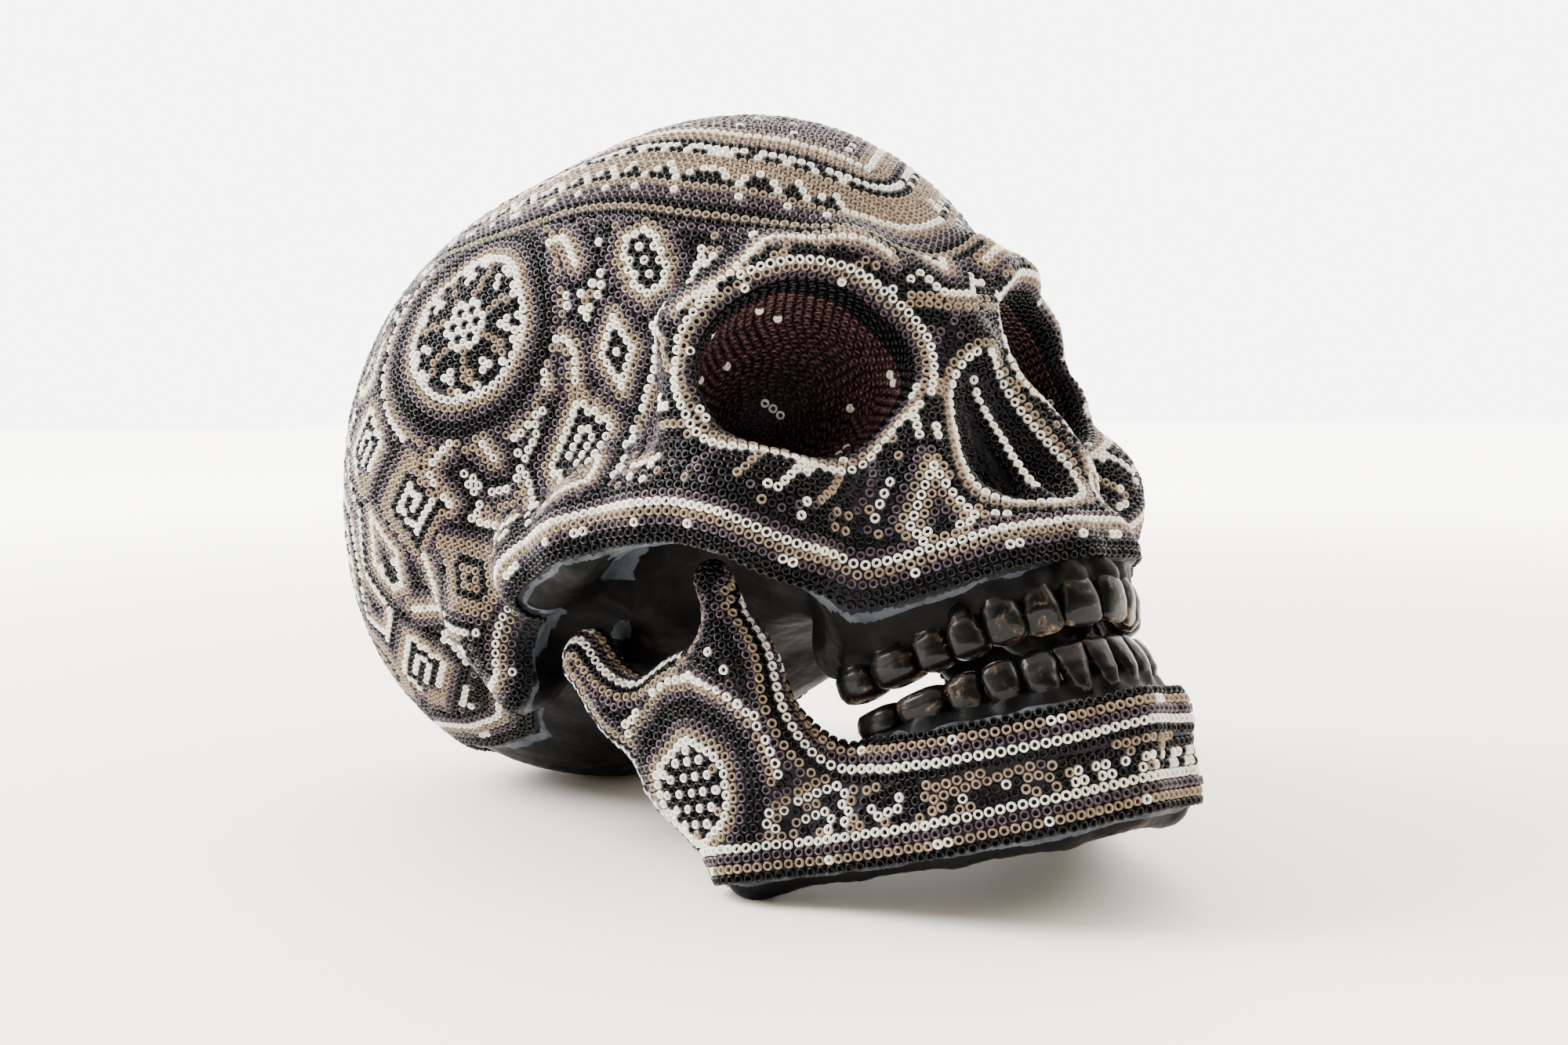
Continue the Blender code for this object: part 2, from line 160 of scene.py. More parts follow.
def rod(p, start, end, r_start, r_end):
    """Distance to a round-ended rod that tapers from r_start to r_end."""
    a, b = np.array(start, float), np.array(end, float)
    d = b - a
    t = sum((p[i] - a[i]) * d[i] for i in range(3)) / d.dot(d)
    t = np.clip(t, 0.0, 1.0)
    gap = np.sqrt(sum((p[i] - a[i] - t * d[i]) ** 2 for i in range(3)))
    return gap - (r_start + (r_end - r_start) * t)


def join(a, b, blend):
    """Union of two fields, rounded over the blend distance."""
    h = np.clip(0.5 + 0.5 * (b - a) / blend, 0.0, 1.0)
    return b + (a - b) * h - blend * h * (1.0 - h)


def cut(a, b, blend):
    """Field a with b carved out, rounded over the blend distance."""
    return -join(-a, b, blend)


def chain(p, points, radii, blend):
    """Rods from point to point, blended into one."""
    whole = None
    for i in range(len(points) - 1):
        piece = rod(p, points[i], points[i + 1], radii[i], radii[i + 1])
        whole = piece if whole is None else join(whole, piece, blend)
    return whole


def braincase(p):
    bone = join(ball(p, (0, 25, 44), (75, 82, 70)), ball(p, (0, -32, 36), (58, 52, 60)), 24)
    bone = join(bone, ball(p, (0, 62, 21), (60, 42, 50)), 24)
    bone = join(bone, ball(p, (0, 4, -6), (48, 56, 20)), 16)
    bone = cut(bone, ball(p, (88, -42, 24), (24, 34, 36)), 28)
    temple_ledge = chain(p, [(50, -50, 0), (56, -28, 3), (56, -6, 5)], [8, 8, 9], 8)
    return join(bone, temple_ledge, 14)


def add_face(bone, p):
    brow = chain(p, [(4, -80, 27), (18, -81, 33), (33, -76, 34), (46, -65, 28)], [7, 7, 6, 6], 6)
    outer_rim = chain(p, [(46, -65, 28), (51, -62, 12), (50, -62, -4)], [6, 6, 8], 6)
    cheekbone = ball(p, (42, -64, -13), (15, 14, 14))
    cheek_arch = chain(p, [(48, -64, -13), (58, -48, -6), (63, -28, -3), (62, -8, 0)], [8, 6, 6, 8], 8)
    cheek_corner = chain(p, [(42, -65, -22), (34, -66, -31)], [8, 6], 6)
    nose_bridge = chain(p, [(0, -82, 22), (0, -88, 12)], [8, 6], 6)
    nose_side = chain(p, [(9, -80, 18), (19, -82, -14)], [7, 8], 6)
    gum_line = [(0, -92.5, -36), (13, -88, -36), (22, -76, -37), (26, -62, -37), (27, -52, -37)]
    bone = join(bone, ball(p, (0, -54, 4), (46, 30, 36)), 16)
    bone = join(bone, brow, 12)
    bone = join(bone, outer_rim, 8)
    bone = join(bone, cheekbone, 10)
    bone = join(bone, cheek_arch, 12)
    bone = join(bone, cheek_corner, 10)
    bone = join(bone, ball(p, (0, -66, -24), (34, 28, 20)), 12)
    bone = join(bone, nose_bridge, 10)
    bone = join(bone, nose_side, 8)
    return join(bone, chain(p, gum_line, [9] * 5, 6), 10)


def carve_face(bone, p):
    nose_top = rod(p, (0, -104, 6), (0, -91, 3), 4, 3)
    nose_foot = ball(p, (4, -100, -14), (10, 15, 11))
    septum = rod(p, (0, -92, -24), (0, -84, 2), 1.5, 1.5)
    bone = cut(bone, ball(p, (33.5, -78, 13.5), (20.5, 36, 17.5), 10), 5)
    bone = cut(bone, join(nose_top, nose_foot, 16), 3)
    bone = join(bone, septum, 5)
    palate = ball(p, (0, -56, -48), (17, 30, 15))
    bone = cut(bone, palate, 8)
    bone = cut(bone, ball(p, (46, -36, -30), (14, 25, 28)), 8)
    return cut(bone, ball(p, (0, -14, -50), (34, 30, 24)), 12)


def cranium_field(x, y, z):
    p = (np.abs(x), y, z)
    bone = carve_face(add_face(braincase(p), p), p)
    mastoid = chain(p, [(58, 19, 2), (55, 18, -15)], [12, 9], 8)
    bone = join(bone, mastoid, 10)
    bone = cut(bone, ball(p, (51, HINGE_Y, HINGE_Z), (11, 11, 10)), 3)
    return join(bone, rod(p, (28, HINGE_Y, -13), (39, HINGE_Y, HINGE_Z), 10, 7), 3)


def mandible_field(x, y, z):
    p = (np.abs(x), y, z)
    edge = [(0, -87, -84), (14, -83, -84), (27, -68, -81), (36, -50, -78), (46, -32, -75)]
    shelf = [(0, -91, -70), (14, -87, -69), (24, -72, -68), (30, -56, -66), (37, -46, -58)]
    gum_line = [(0, -93.5, -68), (12, -89, -68), (22, -78, -66.5), (26.5, -66, -64.5), (28, -54, -63)]
    ramus = chain(p, [(46, -30, -72.5), (47, -17, -50), (49, -5, -28), (50, -1, -18)], [6, 5, 5, 7], 8)
    coronoid = chain(p, [(41, -46, -56), (46, -46, -36), (47, -46, -18)], [6, 5, 4], 8)
    web = join(rod(p, (45, -34, -62), (46, -30, -46), 6, 5), ball(p, (46, -32, -50), (4.5, 16, 20)), 8)
    web = join(web, ball(p, (47, -24, -45), (4.5, 14, 16)), 6)
    web = join(web, rod(p, (49.5, -10, -33.5), (47, -39, -34), 5, 5), 6)
    bone = join(chain(p, edge, [8, 8, 8, 7, 6], 2), chain(p, shelf, [7, 7, 7, 7, 5], 2), 14)
    bone = join(bone, chain(p, gum_line, [7, 7, 7.5, 8, 7.5], 2), 6)
    return join(bone, join(join(ramus, coronoid, 8), web, 8), 10)


# ---- Where the beads are ----

CRANIUM_BORDER = [(-130, -120), (-130, -40), (-100, -39.7), (-88, -39), (-79, -38.5)]
CRANIUM_BORDER += [(-71, -36.5), (-68.5, -28), (-64, -20), (-55, -13.5), (-40, -8), (-26, -5)]
CRANIUM_BORDER += [(-12, -4), (-4, -6), (2, -14), (8, -21), (20, -22.5), (46, -20.5), (62, -18)]
CRANIUM_BORDER += [(76, -12), (140, -12), (140, -120)]
JAW_TOP = [(-130, 20), (-130, -66), (-96, -65.6), (-88, -64.2), (-77, -62), (-65, -59)]
JAW_TOP += [(-56, -55), (-54.5, -48), (-55, -40), (-55, 20)]
JAW_FOOT = [(-130, -140), (-130, -90), (-90, -88.5), (-68, -85), (-50, -81), (-32, -76)]
JAW_FOOT += [(0, -70), (60, -70), (60, -140)]
JAW_INSIDE = [(49, 40), (48.5, -2), (46.5, -14), (44.5, -30), (40, -46), (35.5, -56), (29, -70), (16, -83)]


def outside_of(outline, a, b):
    """Signed distance to a closed outline in the plane, positive outside."""
    points = np.stack([a, b], axis=1)
    nearest = np.full(len(points), 1e9)
    inside = np.zeros(len(points), bool)
    for first, second in zip(outline, outline[1:] + outline[:1]):
        first, second = np.array(first, float), np.array(second, float)
        along = second - first
        share = np.clip((points - first) @ along / along.dot(along), 0, 1)
        nearest = np.minimum(nearest, np.linalg.norm(points - first - share[:, None] * along, axis=1))
        crosses = (first[1] > b) != (second[1] > b)
        rise = along[1] if along[1] else 1e-9
        inside ^= crosses & (a < first[0] + (b - first[1]) * along[0] / rise)
    return np.where(inside, -nearest, nearest)


def cranium_beaded(x, y, z):
    """How far inside the beaded part of the cranium a point is, in millimetres."""
    p = (np.abs(x), y, z)
    inside = outside_of(CRANIUM_BORDER, y, z)
    inside = np.minimum(inside, ball(p, (45, -34, -30), (17, 29, 31)))
    inside = np.minimum(inside, ball(p, (0, 6, -26), (63, 40, 23)))
    inside = np.minimum(inside, ball(p, (0, 20, -23), (54, 42, 18)))
    return np.minimum(inside, ball(p, (50, 2, -16), (11, 13, 12)))


def jaw_beaded(x, y, z):
    inner_side = JAW_INSIDE + [(0, -87)] + [(-a, b) for a, b in reversed(JAW_INSIDE)]
    inside = np.minimum(outside_of(JAW_TOP, y, z), outside_of(JAW_FOOT, y, z))
    return np.minimum(inside, outside_of(inner_side, x, y))


# ---- Surfaces from the fields ----


def sampled(field, box, voxel):
    """The field on a regular grid, exact near its zero level and rough elsewhere."""
    low = np.array(box[0], float)
    counts = 2 * np.ceil((np.array(box[1], float) - low) / voxel / 2).astype(int)
    axes = [low[i] + voxel * np.arange(counts[i]) for i in range(3)]
    coarse = field(*np.meshgrid(*[axis[::2] for axis in axes], indexing="ij"))
    values = coarse.repeat(2, 0).repeat(2, 1).repeat(2, 2)
    near = np.nonzero((values < 7 * voxel) & (values > -9 * voxel))
    values[near] = field(*[axes[i][near[i]] for i in range(3)])
    return values, low


def surface(values, low, voxel, level):
    """Points in millimetres and quads where the sampled field is at the level."""
    reach = 3.0 * voxel
    grid = openvdb.FloatGrid(reach)
    grid.copyFromArray(np.clip(values - level, -reach, reach).astype(np.float32))
    points, quads = grid.convertToQuads()
    return points * voxel + low, quads


def slopes(field, points):
    """Unit normals of the field at the points."""
    step = 0.05
    normals = np.zeros_like(points)
    for axis in range(3):
        shift = np.zeros(3)
        shift[axis] = step
        normals[:, axis] = field(*(points + shift).T) - field(*(points - shift).T)
    return normals / np.linalg.norm(normals, axis=1)[:, None]


def settled(field, points, level):
    """The points moved onto the level of the field, and the normals there."""
    for _ in range(3):
        normals = slopes(field, points)
        points = points - (field(*points.T) - level)[:, None] * normals
    return points, slopes(field, points)


# ---- Guide lines that the beads are laid along ----


def level_lines(points, quads, values, shortest=40.0):
    """Closed lines where the values pass zero on a mesh of quads, longer than shortest."""
    ends = np.roll(quads, -1, axis=1)
    rows, columns = np.nonzero((values[quads] < 0) != (values[ends] < 0))
    a, b = quads[rows, columns], ends[rows, columns]
    keys = np.minimum(a, b).astype(np.int64) * len(points) + np.maximum(a, b)
    share = (values[a] / (values[a] - values[b]))[:, None]
    places = dict(zip(keys.tolist(), points[a] + (points[b] - points[a]) * share))
    links = {}
    for first, second in zip(keys[0::2].tolist(), keys[1::2].tolist()):
        links.setdefault(first, []).append(second)
        links.setdefault(second, []).append(first)
    lines = []
    while links:
        here = next(iter(links))
        line = []
        while here is not None:
            line.append(places[here])
            onward = links.pop(here)
            here = next((key for key in onward if key in links), None)
        line = np.array(line)
        if np.linalg.norm(np.diff(line, axis=0), axis=1).sum() > shortest:
            lines.append(line)
    return lines


def evenly(line, step, closed):
    """The line resampled at equal steps close to this length, and the distance along it."""
    if closed:
        line = np.concatenate([line, line[:1]])
    lengths = np.linalg.norm(np.diff(line, axis=0), axis=1)
    run = np.concatenate([[0.0], np.cumsum(lengths)])
    count = max(2, round(run[-1] / step))
    marks = np.linspace(0.0, run[-1], count + 1)
    if closed:
        marks = marks[:-1]
    return np.stack([np.interp(marks, run, line[:, i]) for i in range(3)], axis=1), marks


def smoothed(line, rounds):
    """A closed line with its small steps evened out."""
    for _ in range(rounds):
        line = (np.roll(line, 1, axis=0) + 2 * line + np.roll(line, -1, axis=0)) / 4
    return line


def largest_patch(quads, chosen):
    """Which of the chosen vertices belong to their largest connected patch."""
    labels = np.where(chosen, np.arange(len(chosen)), -1)
    whole = quads[chosen[quads].all(axis=1)]
    while True:
        highest = labels[whole].max(axis=1)
        spread = labels.copy()
        np.maximum.at(spread, whole.ravel(), highest.repeat(4))
        spread = np.where(spread >= 0, spread[spread], -1)
        if (spread == labels).all():
            break
        labels = spread
    names, counts = np.unique(labels[labels >= 0], return_counts=True)
    return labels == names[counts.argmax()]


def tree_of(places):
    """A search tree over an array of points."""
    tree = KDTree(len(places))
    for number, place in enumerate(places):
        tree.insert(place, number)
    tree.balance()
    return tree


class Skin:
    """The beaded surface of one casting: snapping, normals and the packing of beads."""

    def __init__(self, field, beaded, box, voxel):
        self.field, self.beaded, self.voxel = field, beaded, voxel
        self.values, self.low = sampled(field, box, voxel)
        self.points, self.quads = surface(self.values, self.low, voxel, 0.0)
        self.tree = BVHTree.FromPolygons(self.points.tolist(), self.quads.tolist())
        self.inside = beaded(*self.points.T)
        stray = (self.inside > 0.0) & ~largest_patch(self.quads, self.inside > 0.0)
        self.inside[stray] = -9.0
        self.mask = self.inside[self.quads].max(axis=1) > 0.0
        self.guides = []

    def snap(self, line):
        return np.array([self.tree.find_nearest(Vector(p))[0] for p in line])

    def add_guide(self, line, closed, letter, rest, base=None):
        """Lays one row of beads along a line on the surface."""
        beads, marks = evenly(line, PITCH, closed)
        dense, run = evenly(line, DENSE_STEP, closed)
        if base is not None:
            tree, base_run = base
            marks = np.array([base_run[tree.find(place)[1]] for place in beads])
            run = np.array([base_run[tree.find(place)[1]] for place in dense])
        columns = np.round(marks / PITCH).astype(int)
        letters = [coloured(letter, len(self.guides), int(column)) for column in columns]
        self.keep_guide(self.snap(beads), letters, rest, dense, run)

    def keep_guide(self, beads, letters, rest, dense, run):
        self.guides.append({"beads": beads, "letters": letters, "rest": rest, "dense": dense, "run": run})

    def beside(self, line, closed, step):
        """The line moved sideways along the skin, to its left seen from outside."""
        before, after = np.roll(line, 1, axis=0), np.roll(line, -1, axis=0)
        if not closed:
            before[0], after[-1] = line[0], line[-1]
        side = np.cross(slopes(self.field, line), after - before)
        side /= np.maximum(np.linalg.norm(side, axis=1), 1e-9)[:, None]
        moved = self.snap(line + step * side)
        if closed:
            moved = smoothed(moved, 2)
        return self.snap(evenly(moved, 1.0, closed)[0])

    def add_rows(self, line, closed, kind, orbit_depth=0):
        """Rows of beads side by side, outwards and inwards from a line."""
        outward, beyond, inward, within = ROWS[kind]
        line, run = evenly(line, 1.0, closed)
        tree = tree_of(line)
        length = [
            np.linalg.norm(np.diff(self.beside(line, closed, way * 3), axis=0), axis=1).sum()
            for way in (1, -1)
        ]
        way = 1 if length[0] > length[1] else -1
        if kind.endswith("border"):
            gain = self.beaded(*self.beside(line, closed, 2.0).T).mean()
            way = 1 if gain > self.beaded(*line.T).mean() else -1
        # Down inside an eye socket the rows are the darker maroon glass, which paints the shade of the
        # deep socket.
        if orbit_depth:
            inward, within = "K" + "M" * orbit_depth, "M"
        self.add_side(line, closed, outward, beyond, way * ROW_STEP, (tree, run))
        inner = self.beside(line, closed, -way * ROW_STEP) if inward else line
        self.add_side(inner, closed, inward, within, -way * ROW_STEP, (tree, run))

    def add_side(self, line, closed, letters, rest, step, base):
        for number, letter in enumerate(letters):
            last = number == len(letters) - 1
            self.add_guide(line, closed, letter, rest if last else letter, base)
            line = self.beside(line, closed, step)
            if len(line) < 8:
                break

    def add_border(self, kind):
        for line in level_lines(self.points, self.quads, self.inside - BORDER_INSET):
            self.add_rows(smoothed(line, 6), True, kind)

    def drawn(self, centre, up, outline):
        """(across, up) pairs as points in the plane that touches the skin nearest the centre."""
        place = self.tree.find_nearest(Vector(centre))[0]
        out = Vector(slopes(self.field, np.array([place]))[0])
        up = (Vector(up) - out * out.dot(Vector(up))).normalized()
        across = np.array(up.cross(out))
        return np.array([np.array(place) + a * across + b * np.array(up) for a, b in outline])

    def add_shape(self, centre, up, outline, kind, closed):
        """Rows along a line of (across, up) pairs."""
        line = self.drawn(centre, up, outline)
        self.add_rows(self.snap(evenly(line, 1.0, closed)[0]), closed, kind)

    def add_lattice(self, centre, up, sites):
        """Beads at (across, up, letter)."""
        beads = self.snap(self.drawn(centre, up, [(a, b) for a, b, _ in sites]))
        letters = [letter for _, _, letter in sites]
        self.keep_guide(beads, letters, ART_REST, beads, np.zeros(len(beads)))

    def add_art(self, centre, up, rows):
        """A motif written as centred rows of letters."""
        sites = []
        for number, row in enumerate(rows):
            high = ((len(rows) - 1) / 2 - number) * ROW
            for column, letter in enumerate(row):
                sites.append(((column - (len(row) - 1) / 2) * PITCH, high, letter))
        self.add_lattice(centre, up, sites)

    def add_disc(self, centre, up, radius, paint):
        """The lattice out to a radius, coloured by the place of each bead."""
        count = int(radius / ROW) + 1
        sites = []
        for row in range(-count, count + 1):
            for column in range(-count, count + 1):
                a, b = (column + 0.5 * (row % 2)) * PITCH, row * ROW
                if math.hypot(a, b) < radius:
                    sites.append((a, b, paint(a, b)))
        self.add_lattice(centre, up, sites)

    def index_guides(self):
        """Search tree over all the guides' points, with whose they are and how far along."""
        lengths = [len(guide["dense"]) for guide in self.guides]
        self.owner = np.repeat(np.arange(len(self.guides)), lengths)
        self.run = np.concatenate([guide["run"] for guide in self.guides])
        self.dense = np.concatenate([guide["dense"] for guide in self.guides])
        self.near = tree_of(self.dense)
        self.facing = slopes(self.field, self.dense)

    def guide_of(self, place, facing):
        """The nearest guide point on the same side of the bone: its number and distance."""
        found = self.near.find_n(place, 24)
        for _, number, gap in found:
            if self.facing[number].dot(facing) > SAME_SIDE:
                return number, gap
        return found[0][1:]

    def pack(self):
        """Beads along the guides, rows filled outwards from them, then evened out.

        Returns the beads and their colour letters.
        """
        self.index_guides()
        packing = Packing(self)
        letters = []
        for guide in self.guides:
            beaded = self.beaded(*guide["beads"].T) > RIM
            for place, letter, wanted in zip(guide["beads"], guide["letters"], beaded):
                if wanted and packing.place(Vector(place), GUIDE_CLOSEST):
                    letters.append(letter)
        packing.fill()
        packing.crowd(CROWDED_CLOSEST)
        for _ in range(2):
            beads = self.evened(packing.spots(), len(letters))
            packing = Packing(self)
            for place in beads:
                packing.set_down(Vector(place))
            packing.crowd(REFILL_CLOSEST)
        beads = self.evened(packing.spots(), len(letters))
        letters = np.array(painted(self, beads, letters))
        kept = self.beaded(*beads.T) > RIM
        return beads[kept], letters[kept]

    def evened(self, beads, fixed, rounds=16):
        """Pushes crowded beads apart along the skin; the first few, on the guides, hardly move."""
        tree = tree_of(beads)
        pairs = [
            (number, other)
            for number, place in enumerate(beads)
            for _, other, _ in tree.find_range(place, 1.7 * PITCH)
            if other > number
        ]
        a, b = np.array(pairs).T
        ease = np.full(len(beads), 0.5)
        ease[:fixed] = 0.06
        for _ in range(rounds):
            apart = beads[b] - beads[a]
            gap = np.linalg.norm(apart, axis=1)[:, None]
            push = np.clip(PITCH - gap, 0.0, PITCH) / gap * apart * 0.5
            total = np.zeros_like(beads)
            for axis in range(3):
                total[:, axis] += np.bincount(b, push[:, axis], len(beads))
                total[:, axis] -= np.bincount(a, push[:, axis], len(beads))
            beads = beads + ease[:, None] * total
            beads = self.snap(beads)
        return beads


class Packing:
    """Beads set down on a skin one by one, and a queue of the sites that touch two of them."""

    def __init__(self, skin):
        self.skin, self.closest = skin, ROW_CLOSEST
        self.beads, self.normals, self.cells, self.heap = [], [], {}, []
        self.touch, self.reach = PITCH, 1.6 * PITCH

    def around(self, p, radius):
        """Numbers of the beads in the cells that a ball touches."""
        spans = [range(int((c - radius) // PITCH), int((c + radius) // PITCH) + 1) for c in p]
        found = []
        for cell in itertools.product(*spans):
            found += self.cells.get(cell, ())
        return found

    def free(self, p, share):
        """Whether no bead is nearer than this share of the pitch."""
        least = share * PITCH
        least *= least
        beads = self.beads
        return all((beads[n] - p).length_squared >= least for n in self.around(p, share * PITCH))

    def spots(self):
        return np.array([tuple(place) for place in self.beads])

    def set_down(self, p):
        """Adds a bead and gives its number."""
        p, normal, _, _ = self.skin.tree.find_nearest(p)
        self.beads.append(p)
        self.normals.append(normal)
        cell = tuple(int(c // PITCH) for c in p)
        self.cells.setdefault(cell, []).append(len(self.beads) - 1)
        return len(self.beads) - 1

    def place(self, p, closest):
        """Sets a bead down unless one is too close, and offers the sites beside it."""
        if not self.free(p, closest):
            return False
        near = [n for n in self.around(p, self.reach) if (self.beads[n] - p).length < self.reach]
        number = self.set_down(p)
        for other in near:
            self.propose(number, other)
        return True

    def propose(self, a, b):
        """Queues the two sites that touch both beads."""
        pa, pb = self.beads[a], self.beads[b]
        along = pb - pa
        half = along.length / 2
        rise = math.sqrt(max(self.touch * self.touch - half * half, 0.0))
        side = (self.normals[a] + self.normals[b]).cross(along)
        if side.length < 1e-6:
            return
        side *= rise / side.length
        middle = (pa + pb) / 2
        for site in (middle + side, middle - side):
            if not self.free(site, self.closest):
                continue
            site, _, face, _ = self.skin.tree.find_nearest(site)
            if self.skin.mask[face]:
                gap = self.skin.near.find(site)[2]
                heapq.heappush(self.heap, (gap, tuple(site)))

    def crowd(self, closest):
        """Fills what room is left with beads that stand closer than a full pitch."""
        self.closest, self.touch = closest, 0.88 * PITCH
        for number, place in enumerate(self.beads):
            for other in self.around(place, self.reach):
                if other > number and (self.beads[other] - place).length < self.reach:
                    self.propose(number, other)
        self.fill()

    def fill(self):
        while self.heap:
            self.place(Vector(heapq.heappop(self.heap)[1]), self.closest)


# ---- The pattern: rows of beads along guides, motifs, and the colours between them ----

# W ivory, T tan, P purple, K black, M darker maroon lustre that paints the shade inside the eye sockets;
# small letters and digits are mixed rows.
MIXED_ROWS = {
    "p": "PPPWPPPPPPWWPPPPPPPPWPP",
    "t": "TTTTTTWTTTTTTTTWWTTTTTTTTTTWTTT",
    "d": "KKW",
    "w": "WWWWKWW",
    "q": "PPWPPPWPP",
    "s": "KKPKTKKPWKPKTKK",
    "r": "KPKWKPKTKPKWKKP",
    "o": "PPWPPTP",
}
STROKES = "KKTKKPKKTKKW"  # strokes that lean as they leave the rim of the eye socket
ZIGZAG = "2101"  # how many rows out the white bead of each column is

# Kind of guide: rows outwards from its line, the rows beyond them, and the same inwards
ROWS = {
    "border": ("KKpTW", "PKsrsWTPK", "", ""),
    "jaw_border": ("KtPW", "KTPKKWTPK", "", ""),
    "orbit": ("KKpTW", "ccccccPTKPKWTPK", "", ""),
    "nose": ("KWT", "KrsPTKPK", "K", "K"),
    "hexagon": ("WTTKwdTT012TqPKT", "KPsKTPWKPTK", "TPoPPPoP", "PPoPPPoPPPoPP"),
    "medal": ("WTPKK", "PTWPKKWTPKPTW", "", "K"),
    "line": ("W", "TPKWPTKKW", "", ""),
    "seam": ("W", "TPKKW", "", ""),
}
ART_REST = "TPKWTPKKPTW"

DIAMOND = ("W", "WW", "WKW", "WKKW", "WKWKW", "WKKW", "WKW", "WW", "W")
OVAL = ("WWW", "WKKW", "WKWKW", "WKKW", "WKWKW", "WKKW", "WKWKW", "WKKW", "WWW")
DAISY = ("KKK", "KWWK", "KWTWK", "KWWK", "KKK")
STAR = ("WWWW", "WKKKW", "WKWWKW", "WKWPWKW", "WKWWKW", "WKKKW", "WWWW")
STEPS = ("WWWWWWWW", "WKKKKKKKW", "WKWWWWKW", "WKKKKKWKW", "PPWWWWKW", "TTPKKKKKW", "TTPWWWWW")
COMB = ("KKKKKKKK", "KWWKWWKWK", "KWKKWKKW", "KWWKWWKWK", "KKKKKKKK", "TTTTTTTTT", "PPPPPPPP")
ARROW = ("W", "WW", "WTW", "WTTW", "WTPTW", "WTPPTW", "WTPKPTW", "WWKKWW", "WKKKW", "WKKW", "WWW")
FRET = ("TTTTTTTTT", "TKKKKKKT", "TKWWWWWKT", "TKWKKWKT", "TKWKWWWKT", "TKWKKKKT", "TKWWWWWWT", "KKKKKKKK")
LEAF = ("T", "TT", "TTT", "TKKT", "TKTKT", "TKTTKT", "TKTKTKT", "TKTTKT", "TKTKT", "TKKT", "TTT", "TT")

MEDALLION = (-66, -10, 60)
PETALS = 7
PETAL_MIDDLE = 12.4
RING_ROOM = 0.8 * PITCH  # left free inside a medallion's ring
SCALLOP_ROOM = 0.9  # and inside its dents


def flower(a, b):
    """The temple flower: a rosette, black petals with three white beads each, tan spokes."""
    reach = math.hypot(a, b)
    if reach < 2.9 * PITCH:
        row = round(b / ROW)
        column = round(a / PITCH - 0.5 * (row % 2))
        return "K" if (column - row - row // 2) % 3 == 0 else "W"
    turn = 2 * math.pi / PETALS
    along = math.atan2(a, b) % turn
    if min(along, turn - along) * reach < 0.5 * PITCH:
        return "T"
    share = along - turn / 2
    aside, onward = reach * math.sin(share), reach * math.cos(share) - PETAL_MIDDLE
    return "W" if math.hypot(aside, onward) < 0.78 * PITCH else "K"


def honeycomb(a, b):
    """Seven black cells, each with a white dot, in a white net."""
    reach = math.hypot(a, b)
    share = math.atan2(a, b) % (math.pi / 3) - math.pi / 6
    cell = math.hypot(reach * math.sin(share), reach * math.cos(share) - 3 * PITCH)
    nearest = min(reach, cell)
    return "K" if 0.5 * PITCH < nearest < 1.1 * PITCH else "W"


def spokes(a, b):
    """Black and purple rays round a white dot."""
    reach = math.hypot(a, b)
    if reach < 0.5 * PITCH or abs(reach - 3 * PITCH) < 0.45 * PITCH:
        return "W"
    return "K" if int(math.atan2(a, b) / math.pi * 6 + 12) % 2 else "P"


def circle(radius, scallops, depth=0.8, steps=72):
    """A circle as (across, up) pairs, with dents between its scallops."""
    outline = []
    for step in range(steps):
        angle = 2 * math.pi * step / steps
        dent = depth * (1.0 - abs(math.sin(scallops * angle / 2))) if scallops else 0.0
        outline.append(((radius - dent) * math.sin(angle), (radius - dent) * math.cos(angle)))
    return outline


def arch(half_a, height, steps=9):
    """A round-headed arch, open below."""
    turns = [math.pi * step / steps for step in range(steps + 1)]
    head = [(-half_a * math.cos(turn), half_a * math.sin(turn)) for turn in turns]
    return [(-half_a, -height)] + head + [(half_a, -height)]


def vee(half_a, height):
    return [(-half_a, height), (0, 0), (half_a, height)]


# Discs of lattice inside a ring of rows: centre, up, radius of the ring, colouring, scallops
SIDE_MEDALS = (
    (MEDALLION, (0, 0.25, 1), 17.6, flower, PETALS),
    ((-57, 47, 79), (0, 0.4, 1), 11.2, honeycomb, 6),
    ((-45, 82, 30), (0, 0, 1), 12.5, spokes, 0),
)
MIDDLE_MEDALS = (((0, 105, 52), (0, 0, 1), 17.6, flower, PETALS),)
JAW_MEDALS = (((-52, -27, -56), (0, 0.3, 1), 10.6, honeycomb, 6),)

# Motifs on the skull's right side: centre, direction of up, rows
SIDE_ART = (
    ((-49, -57, 49), (0, 0.1, 1), OVAL),
    ((-54, -45, 34), (0, -0.3, 1), DIAMOND),
    ((-68, 12, 9), (0, 0.5, 1), LEAF),
    ((-62, -29, 22), (0, 0.8, 1), STEPS),
    ((-71, 20, 30), (0, 0.3, 1), FRET),
    ((-69, 40, 28), (0, -0.2, 1), ARROW),
    ((-72, 32, 50), (0, 0.3, 1), STEPS),
    ((-59, 62, 40), (0, 0.2, 1), DIAMOND),
    ((-55, 70, 14), (0, 0.1, 1), LEAF),
    ((-60, 55, 3), (0, 0.3, 1), STEPS),
    ((-50, -28, 87), (0.6, -0.8, 0.6), ARROW),
    ((-44, -50, 76), (0.2, 0.3, 1), COMB),
    ((-52, 4, 98), (1, 0, 1), STAR),
    ((-45, 30, 100), (1, 0, 1), DIAMOND),
    ((-38, 60, 90), (0, 1, 0.4), FRET),
    ((-24, 84, 78), (0, 0.2, 1), STAR),
    ((-24, 92, 18), (0, 0, 1), OVAL),
    ((-16, -86, 43), (-0.3, 0, 1), DAISY),
    ((-19, -84, -24), (0.2, 0, 1), ARROW),
    ((-44, -68, -12), (0, 0, 1), DAISY),
)
